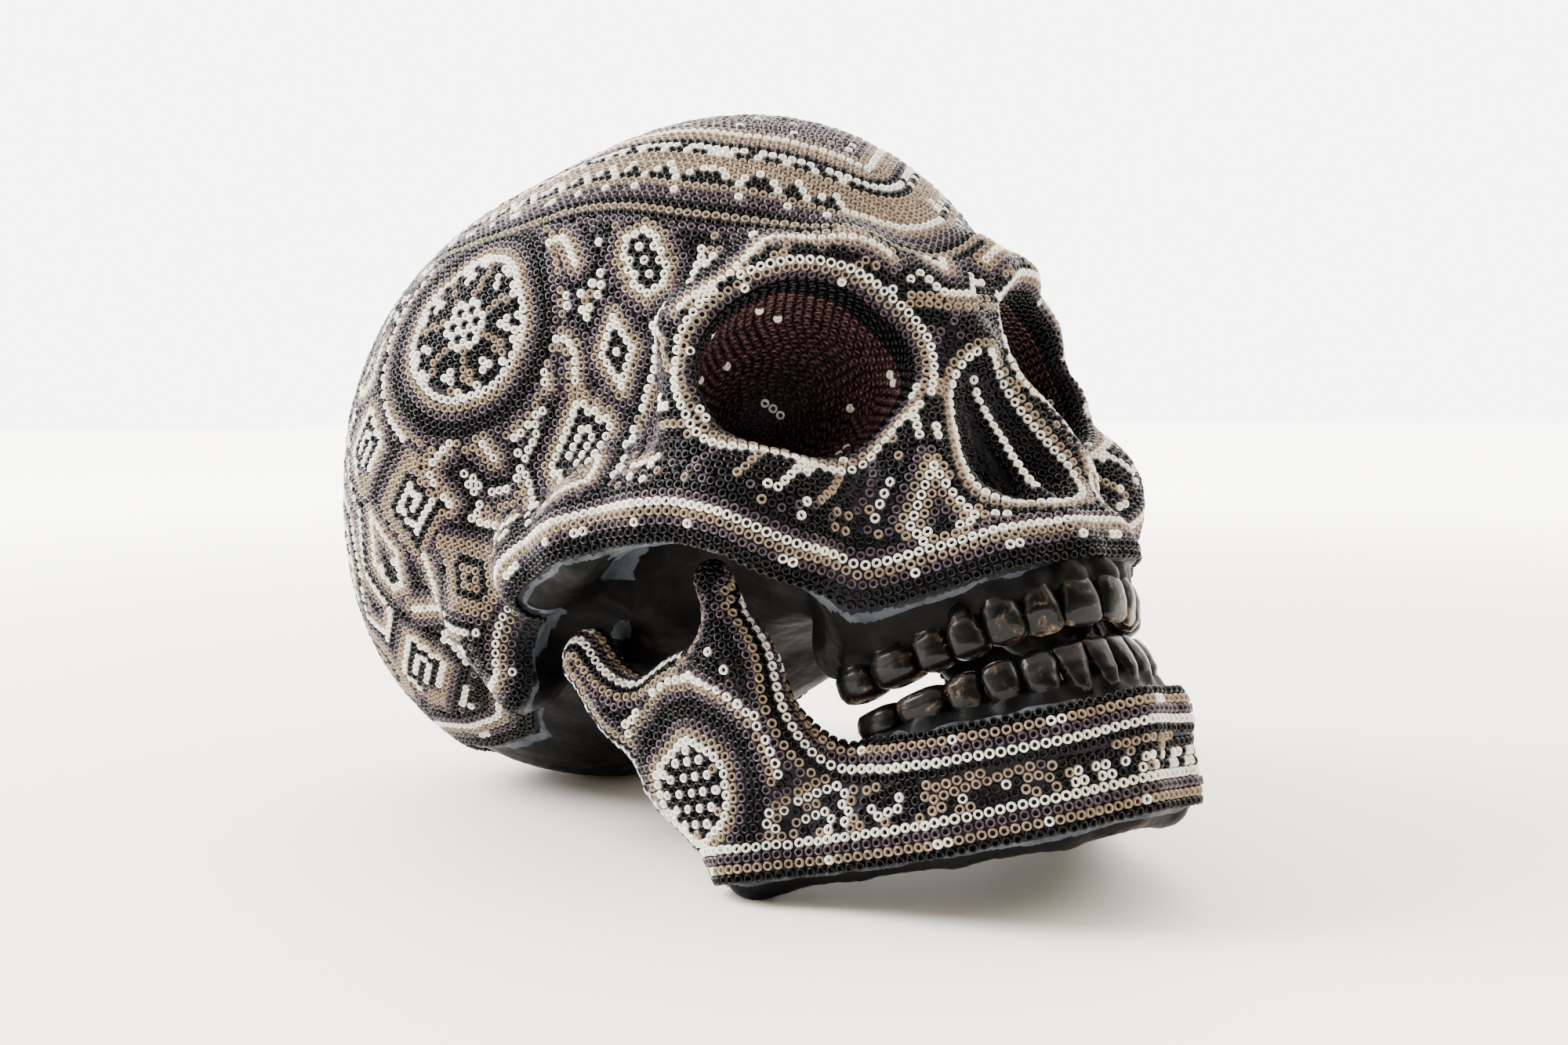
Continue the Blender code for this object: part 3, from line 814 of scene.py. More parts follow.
MIDDLE_ART = (
    ((0, -87.5, 37), (0, 0, 1), DIAMOND),
    ((0, 98, 8), (0, 0, 1), FRET),
    ((0, 70, 100), (0, 1, 0), OVAL),
)
JAW_ART = (
    ((-42, -48, -71), (0, 0, 1), STEPS),
    ((-35, -64, -74), (0, 0, 1), ("KKKKKK", "KWKKWKK", "KWWWKK", "KKKKKKK", "KKKKKK")),
    ((-26, -79, -77), (0, 0, 1), ("TTTTTTTT", "TKWKKKWKT", "TKKKKKKT", "TTTTTTTTT")),
    ((-12, -91, -78), (0, 0, 1), ("KKKKKKK", "KWWKWWKW", "KWWKWWK", "KKKKKKKK")),
)

# Open lines on the right side: centre, up, outline
SIDE_LINES = (
    ((-59, -37, 63), (0, 0.2, 1), arch(4.4, 6)),
    ((-60, -31, 40), (0, -0.5, 1), arch(4.4, 5)),
    ((-63, -36, 10), (0, 0.8, 1), vee(10, 12)),
    ((-72, 0, 32), (0, 0.3, 1), [(-9, -6), (-9, 4), (7, 4), (7, -6)]),
    ((-66, 30, 8), (0, 0.3, 1), vee(9, 9)),
    ((-70, 30, 70), (0, 0.2, -1), arch(6, 5)),
    ((-62, 60, 60), (0, 0.6, 1), vee(10, 9)),
    ((-60, 12, 88), (1, 0, 0.6), vee(9, 6)),
    ((-40, -62, 66), (0.4, 0, 1), vee(6, 7)),
    ((-36, -67, 58), (0.4, 0, 1), vee(6, 7)),
    ((-34, 90, 52), (0, 0, 1), vee(9, 9)),
    ((-28, 72, 92), (0, 1, 0.2), arch(6, 5)),
    ((-56, 66, 28), (0, 0.2, 1), vee(9, 9)),
)
CROWNS = [(-56, -70, 33), (-46, -80, 40), (-35, -82, 44), (-22, -88, 38), (-14, -89, 33)]
HEXAGON = [(0, -79, 61), (-21, -66, 77), (-34, -30, 100), (-34, 22, 112), (0, 52, 112)]
ORBIT = ((33.5, -78, 13.5), (20.5, 17.5), 10.0)
ORBIT_DEPTH = 23  # rows from the rim to the bottom of the eye socket
TEMPLE_X = 44  # no bead this far out and facing outwards lies in the eye socket
NOSE_RIM = [(0, 8.5), (-3.5, 6.5), (-7, 0), (-10, -8), (-12.5, -15), (-12.8, -20)]
NOSE_RIM += [(-9.5, -23.6), (-4, -23), (0, -25)]


def mirrored(points):
    return [(-p[0], *p[1:]) for p in points]


def cast(skin, start, direction):
    """Where a ray first meets the skin."""
    return skin.tree.ray_cast(Vector(start), Vector(direction).normalized())[0]


def orbit_ring(skin, side):
    """The rim of one eye socket, looking straight along it."""
    centre, radii, yaw = ORBIT
    turn = math.radians(yaw)
    flip = np.array([side, 1.0, 1.0])
    across = np.array([math.cos(turn), math.sin(turn), 0.0])
    inward = np.array([-math.sin(turn), math.cos(turn), 0.0])
    line = []
    for angle in np.linspace(0, 2 * math.pi, 90, endpoint=False):
        place = np.array(centre) + across * radii[0] * math.cos(angle)
        place = place + np.array([0, 0, radii[1] * math.sin(angle)])
        line.append(tuple(cast(skin, (place - 80 * inward) * flip, inward * flip)))
    return np.array(line)


def nose_ring(skin):
    outline = NOSE_RIM + mirrored(NOSE_RIM[-2:0:-1])
    line, _ = evenly(np.array([(a, 0.0, b) for a, b in outline]), 1.0, True)
    return np.array([tuple(cast(skin, (p[0], -160, p[2]), (0, 1, 0))) for p in line])


def on_side(side, centre, up):
    return (centre[0] * side, *centre[1:]), (up[0] * side, *up[1:])


def guide_motifs(skin, medals, art, lines, side):
    for centre, up, radius, paint, scallops in medals:
        centre, up = on_side(side, centre, up)
        dents = SCALLOP_ROOM if scallops else 0.0
        skin.add_disc(centre, up, radius - RING_ROOM - dents, paint)
        outline = circle(radius, scallops)
        skin.add_shape(centre, up, [(a * side, b) for a, b in outline], "medal", True)
    for centre, up, rows in art:
        centre, up = on_side(side, centre, up)
        skin.add_art(centre, up, [row[::side] for row in rows])
    for centre, up, outline in lines:
        centre, up = on_side(side, centre, up)
        skin.add_shape(centre, up, [(a * side, b) for a, b in outline], "line", False)


def guide_cranium(skin):
    skin.add_border("border")
    for side in (-1, 1):
        ring = smoothed(orbit_ring(skin, side), 2)
        skin.add_rows(ring, True, "orbit", orbit_depth=ORBIT_DEPTH)
    skin.add_rows(smoothed(nose_ring(skin), 2), True, "nose")
    ridge = [tuple(cast(skin, (0, -160, z), (0, 1, 0))) for z in range(-21, 7, 2)]
    skin.add_guide(np.array(ridge), False, "W", "K")
    hexagon = HEXAGON + mirrored(HEXAGON[-2:0:-1])
    hexagon, _ = evenly(np.array(hexagon, float), 1.0, True)
    skin.add_rows(skin.snap(smoothed(hexagon, 1)), True, "hexagon")
    guide_motifs(skin, MIDDLE_MEDALS, MIDDLE_ART, (), 1)
    for side in (1, -1):
        crown = [(x * side, y, z) for x, y, z in CROWNS]
        skin.add_rows(skin.snap(evenly(np.array(crown, float), 1.0, False)[0]), False, "seam")
        guide_motifs(skin, SIDE_MEDALS, SIDE_ART, SIDE_LINES, side)


def guide_jaw(skin):
    skin.add_border("jaw_border")
    skin.add_art((0, -96, -80), (0, 0, 1), DAISY)
    for side in (1, -1):
        guide_motifs(skin, JAW_MEDALS, JAW_ART, (), side)


def coloured(letter, row, column):
    """The colour of one bead from its row's letter and its place along the row."""
    if letter in MIXED_ROWS:
        pattern = MIXED_ROWS[letter]
        return pattern[column % len(pattern)]
    if letter == "c":
        return STROKES[(column - row // 2) % len(STROKES)]
    if letter.isdigit():
        wave = int(ZIGZAG[column % len(ZIGZAG)])
        return "W" if wave == int(letter) else "T" if int(letter) < wave else "K"
    # Down the eye socket the beads are the maroon painted shade, with a lone white bead now and then as a
    # painted glint.
    if letter == "M":
        return "W" if (column * 7 + row * 3) % 41 == 0 else "M"
    return letter


def on_temple(place, facing):
    """Whether a bead is on the outer side of the thin bone behind the eye socket."""
    return abs(place[0]) > TEMPLE_X and place[0] * facing[0] > 0


def painted(skin, beads, fixed_letters):
    """The colour letter of each bead: its own, or that of its row beside the nearest guide."""
    letters = list(fixed_letters)
    facings = slopes(skin.field, beads)
    for place, facing in zip(beads[len(letters) :], facings[len(letters) :]):
        number, gap = skin.guide_of(place, facing)
        guide = skin.guides[skin.owner[number]]
        row = max(1, round(gap / ROW))
        column = round(skin.run[number] / PITCH - 0.5 * (row % 2))
        rest = guide["rest"]
        letters.append(coloured(rest[(row - 1) % len(rest)], row, column))
    # The socket's painted shade stops at the thin bone: maroon beads on the temple side become purple.
    for number, (place, facing) in enumerate(zip(beads, facings)):
        if letters[number] == "M" and on_temple(place, facing):
            letters[number] = "P"
    return letters


# ---- Pieces ----


def to_world(points):
    """Skull-frame millimetres to world metres."""
    frame = np.array(SKULL_FRAME)
    return np.asarray(points) * MM @ frame[:3, :3].T + frame[:3, 3]


def mesh_piece(name, points, faces, material, body):
    """A piece from arrays; faces all have the same number of corners."""
    faces = np.asarray(faces, np.int32)
    corners = faces.shape[1]
    mesh = bpy.data.meshes.new(name)
    mesh.vertices.add(len(points))
    mesh.vertices.foreach_set("co", to_world(points).astype(np.float32).ravel())
    mesh.loops.add(faces.size)
    mesh.loops.foreach_set("vertex_index", faces.ravel())
    mesh.polygons.add(len(faces))
    mesh.polygons.foreach_set("loop_start", np.arange(0, faces.size, corners, dtype=np.int32))
    mesh.polygons.foreach_set("use_smooth", np.full(len(faces), True))
    mesh.update(calc_edges=True)
    mesh.validate()
    mesh.materials.append(material)
    obj = bpy.data.objects.new(name, mesh)
    bpy.context.scene.collection.objects.link(obj)
    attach(obj, body)
    return obj


def ring_template(around=10):
    """One bead: a rounded ring about +Z, as points and quads."""
    wall = (BEAD_RADIUS - HOLE_RADIUS) / 2
    middle = HOLE_RADIUS + wall
    half = BEAD_HEIGHT / 2
    profile = [(-1.0, -0.45), (0.25, -1.0), (1.0, 0.0), (0.3, 0.95), (-0.72, 0.78)]
    points = []
    for step in range(around):
        angle = 2 * math.pi * step / around
        for out, high in profile:
            reach = middle + wall * out
            points.append((reach * math.cos(angle), reach * math.sin(angle), half * high))
    count = len(profile)
    faces = []
    for step in range(around):
        here, after = step * count, (step + 1) % around * count
        for i in range(count):
            j = (i + 1) % count
            faces.append((here + i, after + i, after + j, here + j))
    return np.array(points), np.array(faces)


def bead_frames(normals, generator):
    """Three axes for each bead, its hole tilted a few degrees off the normal."""
    out = normals + generator.normal(0.0, BEAD_TILT, normals.shape)
    out /= np.linalg.norm(out, axis=1)[:, None]
    aside = np.cross(out, generator.normal(0.0, 1.0, normals.shape))
    aside /= np.linalg.norm(aside, axis=1)[:, None]
    return np.stack([aside, np.cross(out, aside), out], axis=2)


def add_beads(skin, beads, letters, name, body, materials, replaced):
    """Bead pieces, one or more for each colour."""
    generator = np.random.default_rng(BEAD_SEED)
    places, normals = settled(skin.field, beads, -BEAD_CENTRE)
    frames = bead_frames(normals, generator)
    sizes = generator.normal(1.0, BEAD_SPREAD, (len(beads), 1, 1)) * np.ones(3)
    sizes[:, :, 2] *= generator.normal(1.0, HEIGHT_SPREAD, (len(beads), 1))
    places = places + normals * generator.normal(0.0, PLACE_SPREAD, (len(beads), 1))
    template, faces = ring_template()
    for letter, label in BEAD_NAMES.items():
        chosen = np.nonzero(letters == letter)[0]
        if not len(chosen):
            continue
        chosen = chosen[np.argsort(places[chosen, 1], kind="stable")]
        for part, group in enumerate(np.array_split(chosen, math.ceil(len(chosen) / MOST_BEADS))):
            shaped = template[None] * sizes[group]
            points = np.einsum("nij,nkj->nki", frames[group], shaped) + places[group][:, None]
            corners = faces[None] + (np.arange(len(group)) * len(template))[:, None, None]
            piece_name = f"{name}_{label}_beads_{part + 1}"
            points, corners = points.reshape(-1, 3), corners.reshape(-1, 4)
            obj = mesh_piece(piece_name, points, corners, materials[letter], body)
            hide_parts(replaced)


# ---- Castings and wax ----


def ripple(points, seed, shortest, longest, waves=22):
    """Smooth random relief between about -1 and 1, from sine waves of many directions."""
    generator = np.random.default_rng(seed)
    total = np.zeros(len(points))
    weight = 0.0
    for length in np.geomspace(longest, shortest, waves):
        direction = generator.normal(size=3)
        direction *= 2 * math.pi / length / np.linalg.norm(direction)
        share = (length / longest) ** 0.6
        total += share * np.sin(points @ direction + generator.uniform(0, 6.28))
        weight += share * share
    return total / math.sqrt(weight)


def eased(values, start, end):
    """0 at the start, 1 at the end, smooth between."""
    share = np.clip((values - start) / (end - start), 0.0, 1.0)
    return share * share * (3.0 - 2.0 * share)


def with_gums(skin, places):
    """The casting's distance grid with the gum swollen round each tooth's neck and root."""
    values = skin.values + BEAD_LAYER
    necks = [np.array(place.translation) for _, _, place in places]
    first = np.floor((np.min(necks, axis=0) - 16 - skin.low) / skin.voxel).astype(int)
    last = np.ceil((np.max(necks, axis=0) + 16 - skin.low) / skin.voxel).astype(int)
    window = tuple(slice(max(0, low), high) for low, high in zip(first, last))
    spans = [skin.low[i] + skin.voxel * np.arange(values.shape[i])[window[i]] for i in range(3)]
    p = np.meshgrid(*spans, indexing="ij")
    gums = values[window]
    for _, size, place in places:
        neck = place @ Vector((0, -0.04 * size[1], -0.3))
        root = place @ Vector((0, -0.30 * size[1], -8.5))
        thick = 0.47 * size[0]
        gums = join(gums, rod(p, neck, root, thick, 0.62 * thick), 2.2)
    values[window] = gums
    return values


def add_casting(skin, name, body, material, cavity, places, replaced):
    """The resin casting with its rough bare parts and the gum over the roots."""
    values = with_gums(skin, places)
    if cavity is not None:
        axes = [skin.low[i] + skin.voxel * np.arange(values.shape[i]) for i in range(3)]
        hollow = cavity(*np.meshgrid(*[axis[::2] for axis in axes], indexing="ij"))
        hollow = hollow.repeat(2, 0).repeat(2, 1).repeat(2, 2)
        values = np.maximum(values, -hollow)
    points, quads = surface(values, skin.low, skin.voxel, 0.0)
    normals = slopes(skin.field, points)
    bare = eased(-skin.beaded(*points.T), -1.0, 1.0)
    outer = eased(skin.field(*points.T), -4.0, -2.6)
    rough = 0.09 * ripple(points, 5, 2.2, 14.0) + 0.05 * ripple(points, 6, 1.4, 3.0)
    lift = bare * outer * rough
    piece = mesh_piece(name, points + normals * lift[:, None], quads, material, body)
    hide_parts(replaced)


def add_wax(skin, name, body, bed_material, smear_material):
    """The wax the beads sit in, thinned to a smear past the outermost row."""
    normals = slopes(skin.field, skin.points)
    inside = skin.inside + 0.5 * ripple(skin.points, 9, 4.0, 30.0)
    depth = WAX_LEVEL + (BEAD_LAYER - WAX_LEVEL - 0.15) * eased(-inside, -0.5, 0.6)
    depth += 0.8 * eased(-inside, 1.7, 2.6)
    points = skin.points - normals * depth[:, None]
    nearest = skin.inside[skin.quads].max(axis=1)
    for label, chosen, material in (
        ("wax_bed", nearest > -0.2, bed_material),
        ("wax_smear", (nearest <= -0.2) & (nearest > -3.6), smear_material),
    ):
        quads = skin.quads[chosen]
        used, quads = np.unique(quads, return_inverse=True)
        mesh_piece(f"{name}_{label}", points[used], quads.reshape(-1, 4), material, body)


# ---- Teeth ----

UPPER_TEETH = (
    ("central_incisor", 8.4, 6.6, 9.4),
    ("lateral_incisor", 7.0, 6.2, 9.0),
    ("canine", 7.6, 7.6, 9.2),
    ("first_premolar", 7.0, 8.6, 8.0),
    ("second_premolar", 7.0, 8.6, 7.6),
    ("first_molar", 9.8, 10.4, 7.2),
    ("second_molar", 9.2, 10.0, 6.6),
)
LOWER_TEETH = (
    ("central_incisor", 5.4, 5.8, 8.8),
    ("lateral_incisor", 6.0, 6.0, 8.8),
    ("canine", 7.0, 7.0, 9.0),
    ("first_premolar", 7.0, 7.4, 8.0),
    ("second_premolar", 7.2, 7.8, 7.4),
    ("first_molar", 10.6, 9.6, 6.6),
    ("second_molar", 10.2, 9.4, 6.2),
)
UPPER_ARCH = (29.5, 48.0, -49.0)
LOWER_ARCH = (28.0, 46.0, -49.5)
BITE_FRONT = -52.0
BITE_BACK = -50.5
BITE_GAP = 1.8
TOOTH_GAP = -0.35
ROOT = 3.2
TOOTH_RELIEF = 0.13


def along_arch(arch, distance):
    """Point on the half ellipse and its outward direction, this far from the midline."""
    half_width, length, wide_y = arch
    angles = np.linspace(0.0, math.pi / 2, 400)
    xs, ys = half_width * np.sin(angles), wide_y - length * np.cos(angles)
    run = np.concatenate([[0.0], np.cumsum(np.hypot(np.diff(xs), np.diff(ys)))])
    angle = np.interp(distance, run, angles)
    out = Vector((math.sin(angle) / half_width, -math.cos(angle) / length, 0)).normalized()
    return half_width * math.sin(angle), wide_y - length * math.cos(angle), out


def tooth_places(row, arch, upper):
    """For each tooth of a jaw: name, size and the matrix that places it, in millimetres."""
    places = []
    for side_name, side in (("right", -1), ("left", 1)):
        distance = 0.0
        for kind, width, depth, height in row:
            x, y, out = along_arch(arch, distance + width / 2)
            distance += width
            bite = BITE_FRONT + (BITE_BACK - BITE_FRONT) * (y - arch[2] + arch[1]) / arch[1]
            tip = Vector((0, 0, -1.0 if upper else 1.0))
            base_z = bite + height if upper else bite - BITE_GAP - height
            out = Vector((side * out.x, out.y, 0))
            frame = Matrix((out.cross(tip), out, tip)).transposed().to_4x4()
            place = Matrix.Translation((side * x, y, base_z)) @ frame
            places.append((f"{side_name}_{kind}", (width - TOOTH_GAP, depth, height), place))
    return places


def crown_level(share, kind, upper):
    """Half width and half depth of a crown at this share of its height."""
    if "molar" in kind:
        wide = [0.80, 0.93, 1.0, 1.0, 0.90, 0.62]
        deep = [0.82, 0.96, 1.0, 0.95, 0.80, 0.50]
    elif "canine" in kind:
        wide = [0.78, 0.90, 1.0, 0.98, 0.80, 0.36]
        deep = [0.86, 1.0, 0.96, 0.76, 0.52, 0.22]
    elif upper:
        wide = [0.80, 0.90, 0.98, 1.0, 0.96, 0.74]
        deep = [0.86, 1.0, 0.94, 0.70, 0.44, 0.20]
    else:
        wide = [0.72, 0.80, 0.90, 0.97, 1.0, 0.84]
        deep = [0.86, 0.98, 0.88, 0.66, 0.42, 0.22]
    marks = [0.0, 0.2, 0.45, 0.7, 0.9, 1.0]
    return np.interp(share, marks, wide), np.interp(share, marks, deep)


def crown_points(kind, size, upper, seed, around=28, levels=18):
    """Closed rings of a crown, from its root to the middle of its biting face."""
    width, depth, height = size
    angles = np.arange(around) * 2 * math.pi / around
    grinding = "molar" in kind
    rings, tip_wear_and_highlight = [], []
    shares = [-ROOT / height] + list(np.linspace(0.0, 1.0, levels)) + [1.0, 1.0]
    for number, share in enumerate(shares):
        wide, deep = crown_level(max(share, 0.0), kind, upper)
        closing = (1.0, 0.55, 0.12)[max(0, number - levels)]
        if share < 0:
            wide, deep = 0.62, 0.66
        round_off = math.sqrt(max(0.0, 1.0 - max(0.0, (share - 0.86) / 0.155) ** 2))
        round_off = max(round_off, 0.45)
        power = 0.72 if grinding else 0.82
        cx, sy = np.cos(angles), np.sin(angles)
        x = np.sign(cx) * np.abs(cx) ** power * wide * width / 2
        y = np.sign(sy) * np.abs(sy) ** power * deep * depth / 2
        x, y = x * (0.25 + 0.75 * round_off) * closing, y * round_off * closing
        z = np.full(around, share * height)
        if grinding and number > levels:
            z = z - 0.35 * (number - levels) + 0.25 * np.cos(4 * angles)
        rings.append(np.stack([x, y + 0.02 * depth, z], axis=1))
        # Rises towards the crown's tip, where the colour lightens: rubbed paint and a painted highlight.
        tip_wear_and_highlight.append(np.full(around, float(eased(np.array(share), 0.82, 1.0))))
    points = np.concatenate(rings)
    rough = ripple(points + 37.0 * seed, 3 + seed, 2.0, 7.0)[:, None]
    outward = points * np.array([1.0, 1.0, 0.0])
    outward = outward / np.maximum(np.linalg.norm(outward, axis=1), 1e-6)[:, None]
    points = points + outward * TOOTH_RELIEF * rough
    return points, np.concatenate(tip_wear_and_highlight), len(rings), around


def add_teeth(jaw, places, material, body, upper):
    for seed, (name, size, place) in enumerate(places):
        points, tip_wear_and_highlight, rings, around = crown_points(name, size, upper, seed)
        turn = np.array(place)
        points = points @ turn[:3, :3].T + turn[:3, 3]
        faces = []
        for ring in range(rings - 1):
            for step in range(around):
                after = (step + 1) % around
                low, high = ring * around, (ring + 1) * around
                faces.append((low + step, low + after, high + after, high + step))
        piece = mesh_piece(f"{jaw}_{name}_crown", points, faces, material, body)
        close_ends(piece, rings, around)
        # How far each point lightens towards the tip: rubbed paint and a painted highlight.
        tip_wear_and_highlight_layer = piece.data.attributes.new("tip_wear_and_highlight", "FLOAT", "POINT")
        tip_wear_and_highlight_layer.data.foreach_set("value", tip_wear_and_highlight)
        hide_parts(f"{jaw}_{name}")


def close_ends(piece, rings, around):
    """Caps the two open rings of a lofted piece and turns its faces outwards."""
    work = bmesh.new()
    work.from_mesh(piece.data)
    work.verts.ensure_lookup_table()
    for start in (0, (rings - 1) * around):
        cap = work.faces.new([work.verts[start + step] for step in range(around)])
        cap.smooth = True
    bmesh.ops.recalc_face_normals(work, faces=work.faces)
    work.to_mesh(piece.data)
    work.free()


# ---- Materials ----

NOISE_SPAN = (0.3, 0.7)  # where most of a noise texture's values are


def new_material(name, colour, roughness, metallic=0.0, coat=0.0, specular=SPECULAR):
    """A material with the same values all over, and its node tree."""
    material = bpy.data.materials.new(name)
    material.use_nodes = True
    inputs = material.node_tree.nodes["Principled BSDF"].inputs
    inputs["Base Color"].default_value = (*colour, 1.0)
    inputs["Roughness"].default_value = roughness
    inputs["Metallic"].default_value = metallic
    inputs["Coat Weight"].default_value = coat
    inputs["Specular IOR Level"].default_value = specular
    return material, material.node_tree


def noise(tree, scale, detail=4.0, roughness=0.55, distortion=0.0):
    """A noise texture in object coordinates."""
    place = tree.nodes.new("ShaderNodeTexCoord")
    texture = tree.nodes.new("ShaderNodeTexNoise")
    texture.inputs["Scale"].default_value = scale
    texture.inputs["Detail"].default_value = detail
    texture.inputs["Roughness"].default_value = roughness
    texture.inputs["Distortion"].default_value = distortion
    tree.links.new(place.outputs["Object"], texture.inputs["Vector"])
    return texture.outputs["Fac"]


def ramp(tree, source, stops):
    """A colour ramp; stops are (position, colour)."""
    made = tree.nodes.new("ShaderNodeValToRGB")
    elements = made.color_ramp.elements
    while len(elements) < len(stops):
        elements.new(0.5)
    for element, (position, colour) in zip(elements, stops):
        element.position = position
        element.color = (*colour, 1.0)
    tree.links.new(source, made.inputs["Fac"])
    return made.outputs["Color"]


def mapped(tree, source, before, after, kind="LINEAR"):
    """The source, moved from one range of values to another."""
    made = tree.nodes.new("ShaderNodeMapRange")
    made.interpolation_type = kind
    for socket, value in zip(("From Min", "From Max", "To Min", "To Max"), (*before, *after)):
        made.inputs[socket].default_value = value
    tree.links.new(source, made.inputs["Value"])
    return made.outputs["Result"]


def varied(material, colour, dullness, relief=None):
    """Adds (source, stops) of colour, (source, low, high) of roughness and, if given, a bump.

    The bump is (source, distance, strength).
    """
    tree = material.node_tree
    inputs = tree.nodes["Principled BSDF"].inputs
    tree.links.new(ramp(tree, *colour), inputs["Base Color"])
    tree.links.new(mapped(tree, dullness[0], NOISE_SPAN, dullness[1:]), inputs["Roughness"])
    if relief:
        made = tree.nodes.new("ShaderNodeBump")
        made.inputs["Distance"].default_value = relief[1]
        made.inputs["Strength"].default_value = relief[2]
        tree.links.new(relief[0], made.inputs["Height"])
        tree.links.new(made.outputs["Normal"], inputs["Normal"])
    return material


def bead_material(name, dark, light, roughness, metallic, coat):
    """Glass of one colour that varies a little from bead to bead, with fine pits."""
    material, tree = new_material(name, light, roughness, metallic, coat)
    return varied(
        material,
        (noise(tree, 420.0, 1.0), [(0.32, dark), (0.68, light)]),
        (noise(tree, 900.0), roughness * 0.7, roughness * 1.5),
        (noise(tree, 1600.0, 2.0), 0.00004, 1.0),
    )


def bead_materials():
    """Letter of each bead colour and its material."""
    rows = {
        "W": ("ivory_glass", (0.64, 0.62, 0.55), (0.83, 0.81, 0.74), 0.18, 0.0, 0.4),
        "T": ("tan_glass", (0.160, 0.118, 0.082), (0.265, 0.200, 0.140), 0.32, 0.1, 0.15),
        "P": ("purple_glass", (0.030, 0.020, 0.028), (0.066, 0.047, 0.059), 0.24, 0.3, 0.2),
        "K": ("black_glass", (0.0010, 0.0010, 0.0012), (0.0022, 0.0022, 0.0028), 0.22, 0.0, 0.04),
        # Darker maroon glass for the beads lining the eye sockets: painted shade of the deep socket.
        "M": ("socket_shade_maroon_glass", (0.022, 0.009, 0.010), (0.060, 0.027, 0.027), 0.24, 0.35, 0.2),
    }
    return {letter: bead_material(*row) for letter, row in rows.items()}


def resin_material():
    """Black resin, a little worn and dusty in patches."""
    material, tree = new_material("black_resin", (0.02, 0.02, 0.02), 0.42, specular=0.05)
    clean, dull, dusty = (0.0010, 0.0010, 0.0013), (0.0025, 0.0025, 0.0026), (0.012, 0.009, 0.007)
    return varied(
        material,
        (noise(tree, 55.0, 8.0, 0.62, 0.4), [(0.30, clean), (0.58, dull), (0.72, dusty)]),
        (noise(tree, 130.0, 6.0), 0.30, 0.60),
        (noise(tree, 420.0, 8.0, 0.6), 0.0003, 0.5),
    )


def tooth_material():
    """Glossy black paint, lighter brown towards the crown tips: rubbed paint there, and a painted
    highlight on the tips.
    """
    material, tree = new_material("tooth_paint", (0.02, 0.02, 0.02), 0.25, coat=0.12)
    tip_wear_and_highlight_input = tree.nodes.new("ShaderNodeAttribute")
    tip_wear_and_highlight_input.attribute_name = "tip_wear_and_highlight"
    mixed = tree.nodes.new("ShaderNodeMath")
    mixed.operation = "MULTIPLY_ADD"
    mixed.inputs[1].default_value = 0.10
    tree.links.new(tip_wear_and_highlight_input.outputs["Fac"], mixed.inputs[0])
    tree.links.new(noise(tree, 260.0, 9.0, 0.7, 0.8), mixed.inputs[2])
    # Darkest to lightest towards the tips; the lighter end is partly rubbed paint and partly a painted
    # highlight.
    paint, brown, bare = (0.002, 0.002, 0.0023), (0.040, 0.024, 0.014), (0.20, 0.145, 0.10)
    return varied(
        material,
        (mixed.outputs[0], [(0.58, paint), (0.64, brown), (0.74, bare)]),
        (noise(tree, 300.0, 6.0), 0.18, 0.45),
        (noise(tree, 500.0, 6.0), 0.0003, 0.5),
    )


def wax_material(name, dark, light, roughness):
    material, tree = new_material(name, dark, roughness)
    return varied(
        material,
        (noise(tree, 160.0, 6.0), [(0.35, dark), (0.68, light)]),
        (noise(tree, 240.0, 5.0), roughness * 0.8, roughness * 1.2),
        (noise(tree, 380.0, 6.0), 0.0004, 0.7),
    )


def steel_material():
    material, tree = new_material("pin_steel", (0.5, 0.5, 0.51), 0.3, metallic=1.0)
    return varied(
        material,
        (noise(tree, 700.0, 5.0), [(0.35, (0.32, 0.32, 0.33)), (0.7, (0.6, 0.6, 0.6))]),
        (noise(tree, 900.0, 5.0), 0.2, 0.5),
    )


def floor_material():
    """Pale paper, which glows as white as the room far from the skull."""
    material, tree = new_material("pale_floor", (0.9, 0.88, 0.84), 0.6)
    inputs = tree.nodes["Principled BSDF"].inputs
    stops = [(0.3, (0.89, 0.86, 0.80)), (0.7, (0.91, 0.885, 0.83))]
    tree.links.new(ramp(tree, noise(tree, 2.0, 3.0), stops), inputs["Base Color"])
    place = tree.nodes.new("ShaderNodeTexCoord")
    away = tree.nodes.new("ShaderNodeVectorMath")
    away.operation = "LENGTH"
    tree.links.new(place.outputs["Object"], away.inputs[0])
    glow = mapped(tree, away.outputs["Value"], GLOW_REACH, (0.0, FLOOR_GLOW), "SMOOTHSTEP")
    tree.links.new(glow, inputs["Emission Strength"])
    inputs["Emission Color"].default_value = (*GLOW_COLOUR, 1.0)
    return material


# ---- Floor, light and camera ----


def add_floor(bottom):
    mesh = bpy.data.meshes.new("floor")
    signs = ((-1, -1), (1, -1), (1, 1), (-1, 1))
    mesh.from_pydata([(a * FLOOR_REACH, b * FLOOR_REACH, bottom) for a, b in signs], [], [(0, 1, 2, 3)])
    mesh.materials.append(floor_material())
    floor = bpy.data.objects.new("floor", mesh)
    bpy.context.scene.collection.objects.link(floor)


def add_light(name, place, target, size, power, colour):
    light = bpy.data.lights.new(name, "AREA")
    light.shape = "DISK"
    light.size = size
    light.energy = power
    light.color = colour
    obj = bpy.data.objects.new(name, light)
    obj.location = place
    obj.rotation_euler = (Vector(target) - Vector(place)).to_track_quat("-Z", "Y").to_euler()
    bpy.context.scene.collection.objects.link(obj)


